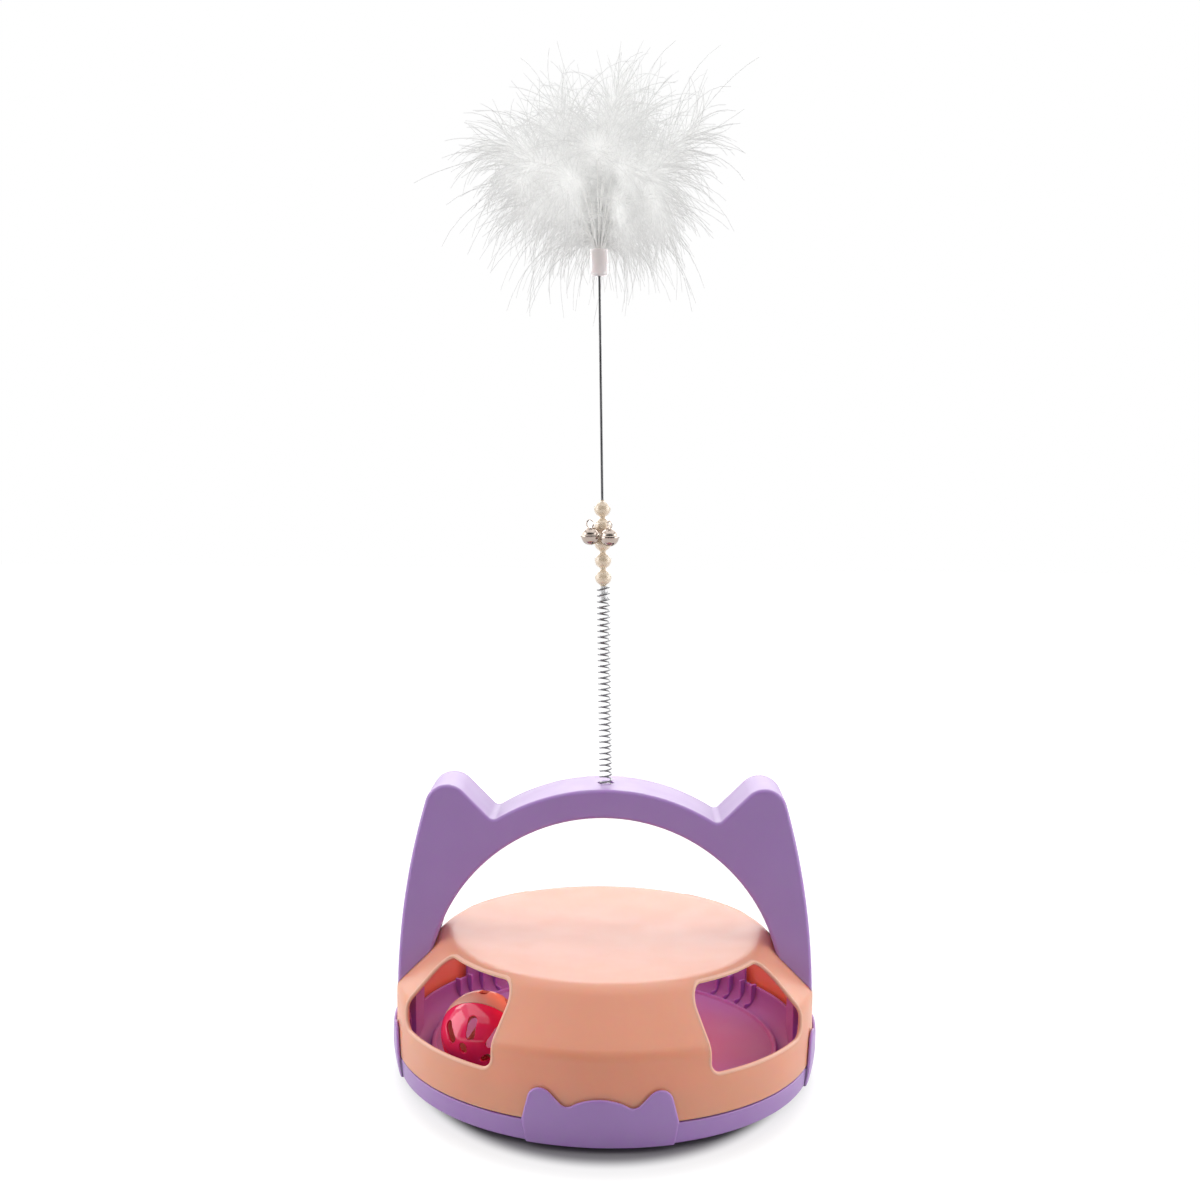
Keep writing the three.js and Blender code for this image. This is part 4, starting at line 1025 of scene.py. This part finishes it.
# Azimuth, then where the feather bends and ends, as shares of reach and rise.
FEATHERS = {
    "feather_1": (0, (0.33, 0.52), (0.95, 0.65)),
    "feather_2": (45, (0.16, 0.67), (0.69, 0.8)),
    "feather_3": (90, (0.29, 0.55), (0.67, 0.52)),
    "feather_4": (135, (0.13, 0.67), (0.62, 0.88)),
    "feather_5": (180, (0.38, 0.77), (1, 0.33)),
    "feather_6": (225, (0.53, 0.72), (0.87, -0.03)),
    "feather_7": (270, (0.3, 0.7), (0.69, 0.22)),
    "feather_8": (315, (0.5, 0.76), (0.62, -0.3)),
    "feather_centre": (20, (0.02, 0.58), (0.27, 0.98)),
}
# Each node's own feather and two shorter ones beside it: turn, then share of its size.
TUFT = ((0, 1.0), (24, 0.82), (-21, 0.68))
SHADING = "feather_3"  # its barbs shade the plume's depth
STRAND_WIDTH, RACHIS_WIDTH = 0.1, 0.5
RACHIS_SHARE = 0.72  # of the feather, before its last barbs run on alone
RACHIS_STEPS, RACHIS_TAPER = 24, (1, 0.2)
BARBS, BARB_FIRST = 78, 0.04  # on each side of a rachis, and where they start on it
BARB_STEPS, BARB_TAPER = 8, (2.2, 1.0)
BARB_LENGTH, BARB_SWELL, BARB_VARY = 34, 10, (0.6, 1.12)  # more at half way
# Degrees: the vane's turn about its rachis, and how loosely, less towards the tip.
VANE_TWIST, VANE_LOOSE, VANE_SETTLE = 55, 75, 45
# Degrees that a barb stands off the rachis, less towards the tip, and how they vary.
BARB_SPREAD, BARB_CLOSE, BARB_JITTER = 104, 72, 11
BARB_SWAY, BARB_DROOP, FOOT_DROOP = 0.07, 0.14, 0.42  # the last is more at the foot
DOWN_HAIRS, DOWN_WIDTH, DOWN_REACH = 30, 0.6, (4, 9)  # on each barb
DOWN_OUT, DOWN_ALONG, DOWN_SHARE = 0.8, 0.6, 0.75  # the last of the barb's length
LONG_SHARE, LONG_GAIN = 0.3, 1.65  # of the lowest barbs, that hang beyond the rest
PARTING_RISE, PARTING_HALF, PARTING_SLOPE = 40, 5, 0.14  # open front above the ferrule
STRAY_SHARE = 0.025  # of the barbs there, that stay


def strand(curve, points, thick, thin):
    spline = curve.splines.new("POLY")
    spline.points.add(len(points) - 1)
    flat = []
    for point in points:
        flat += [*(wand_place @ point * MM), 1.0]
    spline.points.foreach_set("co", flat)
    last = len(points) - 1
    radii = [thick + (thin - thick) * k / last for k in range(last + 1)]
    spline.points.foreach_set("radius", radii)


def in_parting(at):
    """True where a barb would close the open front above the ferrule."""
    rise = at.z - FERRULE_TOP
    room = PARTING_HALF + PARTING_SLOPE * max(rise, 0)
    return at.y < 1 and rise < PARTING_RISE and abs(at.x) < room


def feather(draw, barbs, down, stem, quill, azimuth, bend, tip):
    """One soft feather: a curved rachis with long barbs, each fringed with down."""
    spin = about("Z", azimuth).to_3x3()
    root = Vector((quill, 0, FERRULE_TOP))
    knee = Vector((bend[0] * PLUME_REACH, 0, FERRULE_TOP + bend[1] * PLUME_RISE))
    end = Vector((tip[0] * PLUME_REACH, 0, FERRULE_TOP + tip[1] * PLUME_RISE))
    across = spin @ Vector((0, 1, 0))

    def along(share):
        return spin @ bent(root, knee, end, share * RACHIS_SHARE)

    def heading(share):
        t = share * RACHIS_SHARE
        return (spin @ ((knee - root) * (1 - t) + (end - knee) * t)).normalized()

    line = [spin @ Vector((quill, 0, CUP_FLOOR))]
    line += [along(k / RACHIS_STEPS) for k in range(RACHIS_STEPS + 1)]
    strand(stem, line, *RACHIS_TAPER)
    gravity = Vector((0, 0, -1))
    for i in range(BARBS):
        t = BARB_FIRST + (1 - BARB_FIRST) * (i + draw.random()) / BARBS
        for side in (1, -1):
            forward = heading(t)
            lift = across.cross(forward)
            loose = VANE_LOOSE - VANE_SETTLE * t
            tilt = math.radians(VANE_TWIST + draw.gauss(0, loose))
            aside = (across * math.cos(tilt) + lift * math.sin(tilt)) * side
            spread = BARB_SPREAD - BARB_CLOSE * t**0.8 + draw.gauss(0, BARB_JITTER)
            spread = math.radians(spread)
            way = (aside * math.sin(spread) + forward * math.cos(spread)).normalized()
            length = BARB_LENGTH + BARB_SWELL * math.sin(math.pi * t)
            length *= draw.uniform(*BARB_VARY)
            if draw.random() < LONG_SHARE * (1 - t):
                length *= LONG_GAIN
            sway = Vector([draw.gauss(0, BARB_SWAY) for _ in range(3)])
            droop = BARB_DROOP + FOOT_DROOP * (1 - t)
            points = [along(t)]
            ways = []
            for k in range(BARB_STEPS):
                way = (way + gravity * droop * k / BARB_STEPS + sway).normalized()
                ways.append(way)
                points.append(points[-1] + way * (length / BARB_STEPS))
            if any(in_parting(point) for point in points) and draw.random() > STRAY_SHARE:
                continue
            strand(barbs, points, *BARB_TAPER)
            for _ in range(DOWN_HAIRS):
                u = draw.random() ** 1.4 * DOWN_SHARE
                k = min(int(u * BARB_STEPS), BARB_STEPS - 1)
                at = points[k] + (points[k + 1] - points[k]) * (u * BARB_STEPS - k)
                out = Vector([draw.gauss(0, 1) for _ in range(3)])
                out = (out - ways[k] * out.dot(ways[k])).normalized()
                hair = (out * DOWN_OUT + ways[k] * DOWN_ALONG).normalized()
                reach = draw.uniform(*DOWN_REACH) * (1 - 1.15 * u)
                strand(down, [at, at + hair * reach], DOWN_WIDTH, DOWN_WIDTH / 2)


for seed, (node, (azimuth, bend, tip)) in enumerate(FEATHERS.items(), 11):
    draw = random.Random(seed)
    barbs = round_line(node + "_barbs", STRAND_WIDTH)
    down = round_line(node + "_down", STRAND_WIDTH)
    stem = round_line(node + "_rachis", RACHIS_WIDTH, 1)
    quill = 0 if node == "feather_centre" else QUILL_CIRCLE
    for turn, share in TUFT:
        ends = [tuple(share * v for v in spot) for spot in (bend, tip)]
        feather(draw, barbs, down, stem, quill, azimuth + turn, *ends)
    coats = ((barbs, feather_strand_painted_shade), (down, feather_white), (stem, feather_quill))
    for curve, material in coats:
        obj = shown(curve.name, curve, material)
        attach(obj, "wand")
        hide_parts(node)
        obj.visible_shadow = curve is stem or (curve is barbs and node == SHADING)


# -------------------- ball
# Polar angle, count, first azimuth, length, width.
SLOT_ROWS = ((53, 8, 0, 13, 5.2), (25, 4, 22.5, 6, 4.2))
SLOT_SUNK, SLOT_DEPTH = 4, 8  # the cutters, from the ball's radius
BALL_SEAM = 89.6  # degrees from the pole, so that the seam shows


def ball_slot(polar, turn, length, width):
    """A round-ended cutter through the ball's wall, long towards the pole."""
    half, end = length / 2, width / 2
    bend = end - 0.05
    bm = slab(rounded_box(half, -end, end, bend, bend), 0, SLOT_DEPTH)
    place = (
        about("Z", turn)
        @ about("Y", polar)
        @ Matrix.Translation((0, 0, BALL_RADIUS - SLOT_SUNK))
        @ about("X", 90)
    )
    return moved(bm, place)


def ball_half():
    """Half of the slotted ball, open at its seam, its pole at +Z."""

    def arc(radius):
        return [round_point(radius, BALL_SEAM * k / 24) for k in range(25)]

    profile = arc(BALL_RADIUS - BALL_WALL) + list(reversed(arc(BALL_RADIUS)))
    cutters = [
        ball_slot(polar, first + 360 * k / count, length, width)
        for polar, count, first, length, width in SLOT_ROWS
        for k in range(count)
    ]
    return soften(carved(turned(profile, 72), *cutters), 0.3, 2, 45)


ball_place = (
    Matrix.Translation(BALL_CENTRE)
    @ about("Y", BALL_LEAN)
    @ about("X", BALL_TIP)
    @ about("Z", BALL_SPIN)
)
for name, material, turn in (("pink", ball_pink, 0), ("clear", ball_clear, 180)):
    half = moved(ball_half(), ball_place @ about("X", turn))
    piece(f"ball_{name}", half, material, f"ball_{name}", "ball", f"ball_half_{name}")
rattle_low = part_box("rattle_bell")[0]
rattle_place = Matrix.Translation((*BALL_CENTRE[:2], rattle_low.z / MM + BELL_RADIUS))
rattle = moved(jingle_bell(), rattle_place)
piece("rattle", rattle, bell_nickel, "bell_nickel", "rattle", "rattle_bell")

# -------------------- studio
FLOOR_SIZE = (8.0, 8.0)
# The floor's colour for bounced light, then the darker colour that the camera sees: painted
# shade near the toy, which the glow lifts to white further off.
FLOOR_COLOUR, FLOOR_SEEN_PAINTED_DARKER = 0.75, 0.3
# Stretches distances across x, so that the painted shadow is narrower at the toy's sides.
PAINTED_SHADOW_SQUEEZE = (1.25, 1, 1)
FLOOR_REACH = 0.5
# The floor's glow, by the distance in metres from the toy's axis: it fades to nothing near
# the toy, which paints a shadow round it.
FLOOR_GLOW_ROUND_PAINTED_SHADOW = ((0.128, 0.0), (0.143, 0.68), (0.17, 0.92))
AMBIENT = 0.34


def seen_directly(owner):
    """1 for what the camera sees, also in gloss and through clear plastic."""
    path = node_of(owner, "ShaderNodeLightPath", {})
    total = path.outputs["Is Camera Ray"]
    for ray in ("Is Glossy Ray", "Is Transmission Ray"):
        either = {0: total, 1: path.outputs[ray]}
        total = node_of(owner, "ShaderNodeMath", either, operation="MAXIMUM").outputs[0]
    return total


def floor_finish():
    """A floor that is white to the eye away from the toy. Near the toy its glow fades out
    and the camera sees it darker than the light it bounces: a painted shadow over the real
    one.
    """
    floor = bpy.data.materials.new("studio_floor")
    floor.use_nodes = True
    floor.node_tree.nodes.clear()
    place = node_of(floor, "ShaderNodeTexCoord", {}).outputs["Object"]
    away = {0: place, 1: PAINTED_SHADOW_SQUEEZE}
    away = node_of(floor, "ShaderNodeVectorMath", away, operation="MULTIPLY").outputs[0]
    away = node_of(floor, "ShaderNodeVectorMath", {0: away}, operation="LENGTH")
    share = {"Value": away.outputs["Value"], "From Max": FLOOR_REACH}
    share = node_of(floor, "ShaderNodeMapRange", share).outputs["Result"]
    glow = node_of(floor, "ShaderNodeValToRGB", {"Fac": share})
    glow.color_ramp.interpolation = "EASE"
    stops = glow.color_ramp.elements
    while len(stops) < len(FLOOR_GLOW_ROUND_PAINTED_SHADOW):
        stops.new(1.0)
    for stop, (distance, level) in zip(stops, FLOOR_GLOW_ROUND_PAINTED_SHADOW):
        stop.position = distance / FLOOR_REACH
        stop.color = (level, level, level, 1)
    seen = seen_directly(floor)
    # The glow shows only to the eye, in gloss and through clear plastic; where it fades
    # near the toy, the shadow is painted.
    level = {0: glow.outputs["Color"], 1: seen}
    level = node_of(floor, "ShaderNodeMath", level, operation="MULTIPLY").outputs[0]
    shine = node_of(floor, "ShaderNodeEmission", {"Strength": level}).outputs[0]
    grey = {"Value": seen, "To Min": FLOOR_COLOUR, "To Max": FLOOR_SEEN_PAINTED_DARKER}
    grey = node_of(floor, "ShaderNodeMapRange", grey).outputs["Result"]
    matt = node_of(floor, "ShaderNodeBsdfDiffuse", {"Color": grey}).outputs[0]
    total = node_of(floor, "ShaderNodeAddShader", {0: shine, 1: matt}).outputs[0]
    node_of(floor, "ShaderNodeOutputMaterial", {"Surface": total})
    return floor


def stage_sheet(name, material, size, place=Matrix.Identity(4)):
    """A flat sheet of the studio, which is no piece of the toy."""
    sheet = bmesh.new()
    bmesh.ops.create_grid(sheet, x_segments=1, y_segments=1, size=0.5)
    bmesh.ops.scale(sheet, vec=(*size, 1), verts=sheet.verts)
    moved(sheet, place)
    mesh = bpy.data.meshes.new(name)
    sheet.to_mesh(mesh)
    sheet.free()
    mesh.materials.append(material)
    obj = placed(name, mesh)
    obj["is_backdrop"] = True
    return obj


stage_sheet("studio_floor", floor_finish(), FLOOR_SIZE)

world = bpy.data.worlds.new("studio")
world.use_nodes = True
scene.world = world
strength = {"Value": seen_directly(world), "To Min": AMBIENT, "To Max": 1.0}
strength = node_of(world, "ShaderNodeMapRange", strength).outputs["Result"]
sky = world.node_tree.nodes["Background"]
feed(world, sky, {"Color": (1, 1, 1, 1), "Strength": strength})


def softbox(name, place, aim, width, height, power):
    """A soft lamp, in metres and watts, that the camera doesn't see."""
    light = bpy.data.lights.new(name, "AREA")
    light.shape = "RECTANGLE"
    light.size, light.size_y = width, height
    light.energy = power
    obj = placed(name, light)
    obj.location = place
    obj.rotation_euler = (Vector(aim) - Vector(place)).to_track_quat("-Z", "Y").to_euler()
    obj.visible_camera = False
    return obj


softbox("overhead_light", (0, 0.15, 1.3), (0, 0, 0.2), 1.8, 1.8, 7.5)
softbox("left_light", (-1.05, -0.12, 0.45), (0, 0, 0.25), 0.8, 1.0, 6.0)
softbox("right_light", (1.05, -0.12, 0.45), (0, 0, 0.25), 0.8, 1.0, 6.0)
softbox("back_light", (0, 1.5, 0.75), (0, 0, 0.1), 2.6, 1.5, 4.0)
# A wide bright wall that only gloss shows.
gloss_light = softbox("gloss_light", (0, 1.45, 1.165), (0, 0, 0.1), 4.4, 1.47, 60.0)
gloss_light.visible_diffuse = False
# Daylight that the thin cover lets through to the tray.
cover_glow = softbox("cover_glow", (0, 0, 0.069), (0, 0, 0), 0.17, 0.17, 0.088)
cover_glow.data.shape = "DISK"
cover_glow.data.color = (1.0, 0.31, 0.17)
cover_glow.visible_glossy = False
cover_glow.visible_transmission = False

# The dark side of the room, behind the camera: only gloss shows it.
CARD_SIZE, CARD_PLACE = (5.0, 1.7), (0, -1.7, 0.9)
card_black = finish("card_black", (0.02, 0.02, 0.02), 0.9)
standing = Matrix.Translation(CARD_PLACE) @ about("X", 90)
front_card = stage_sheet("front_card", card_black, CARD_SIZE, standing)
front_card.visible_camera = False
front_card.visible_diffuse = False
front_card.visible_transmission = False
front_card.visible_shadow = False

low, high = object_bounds()
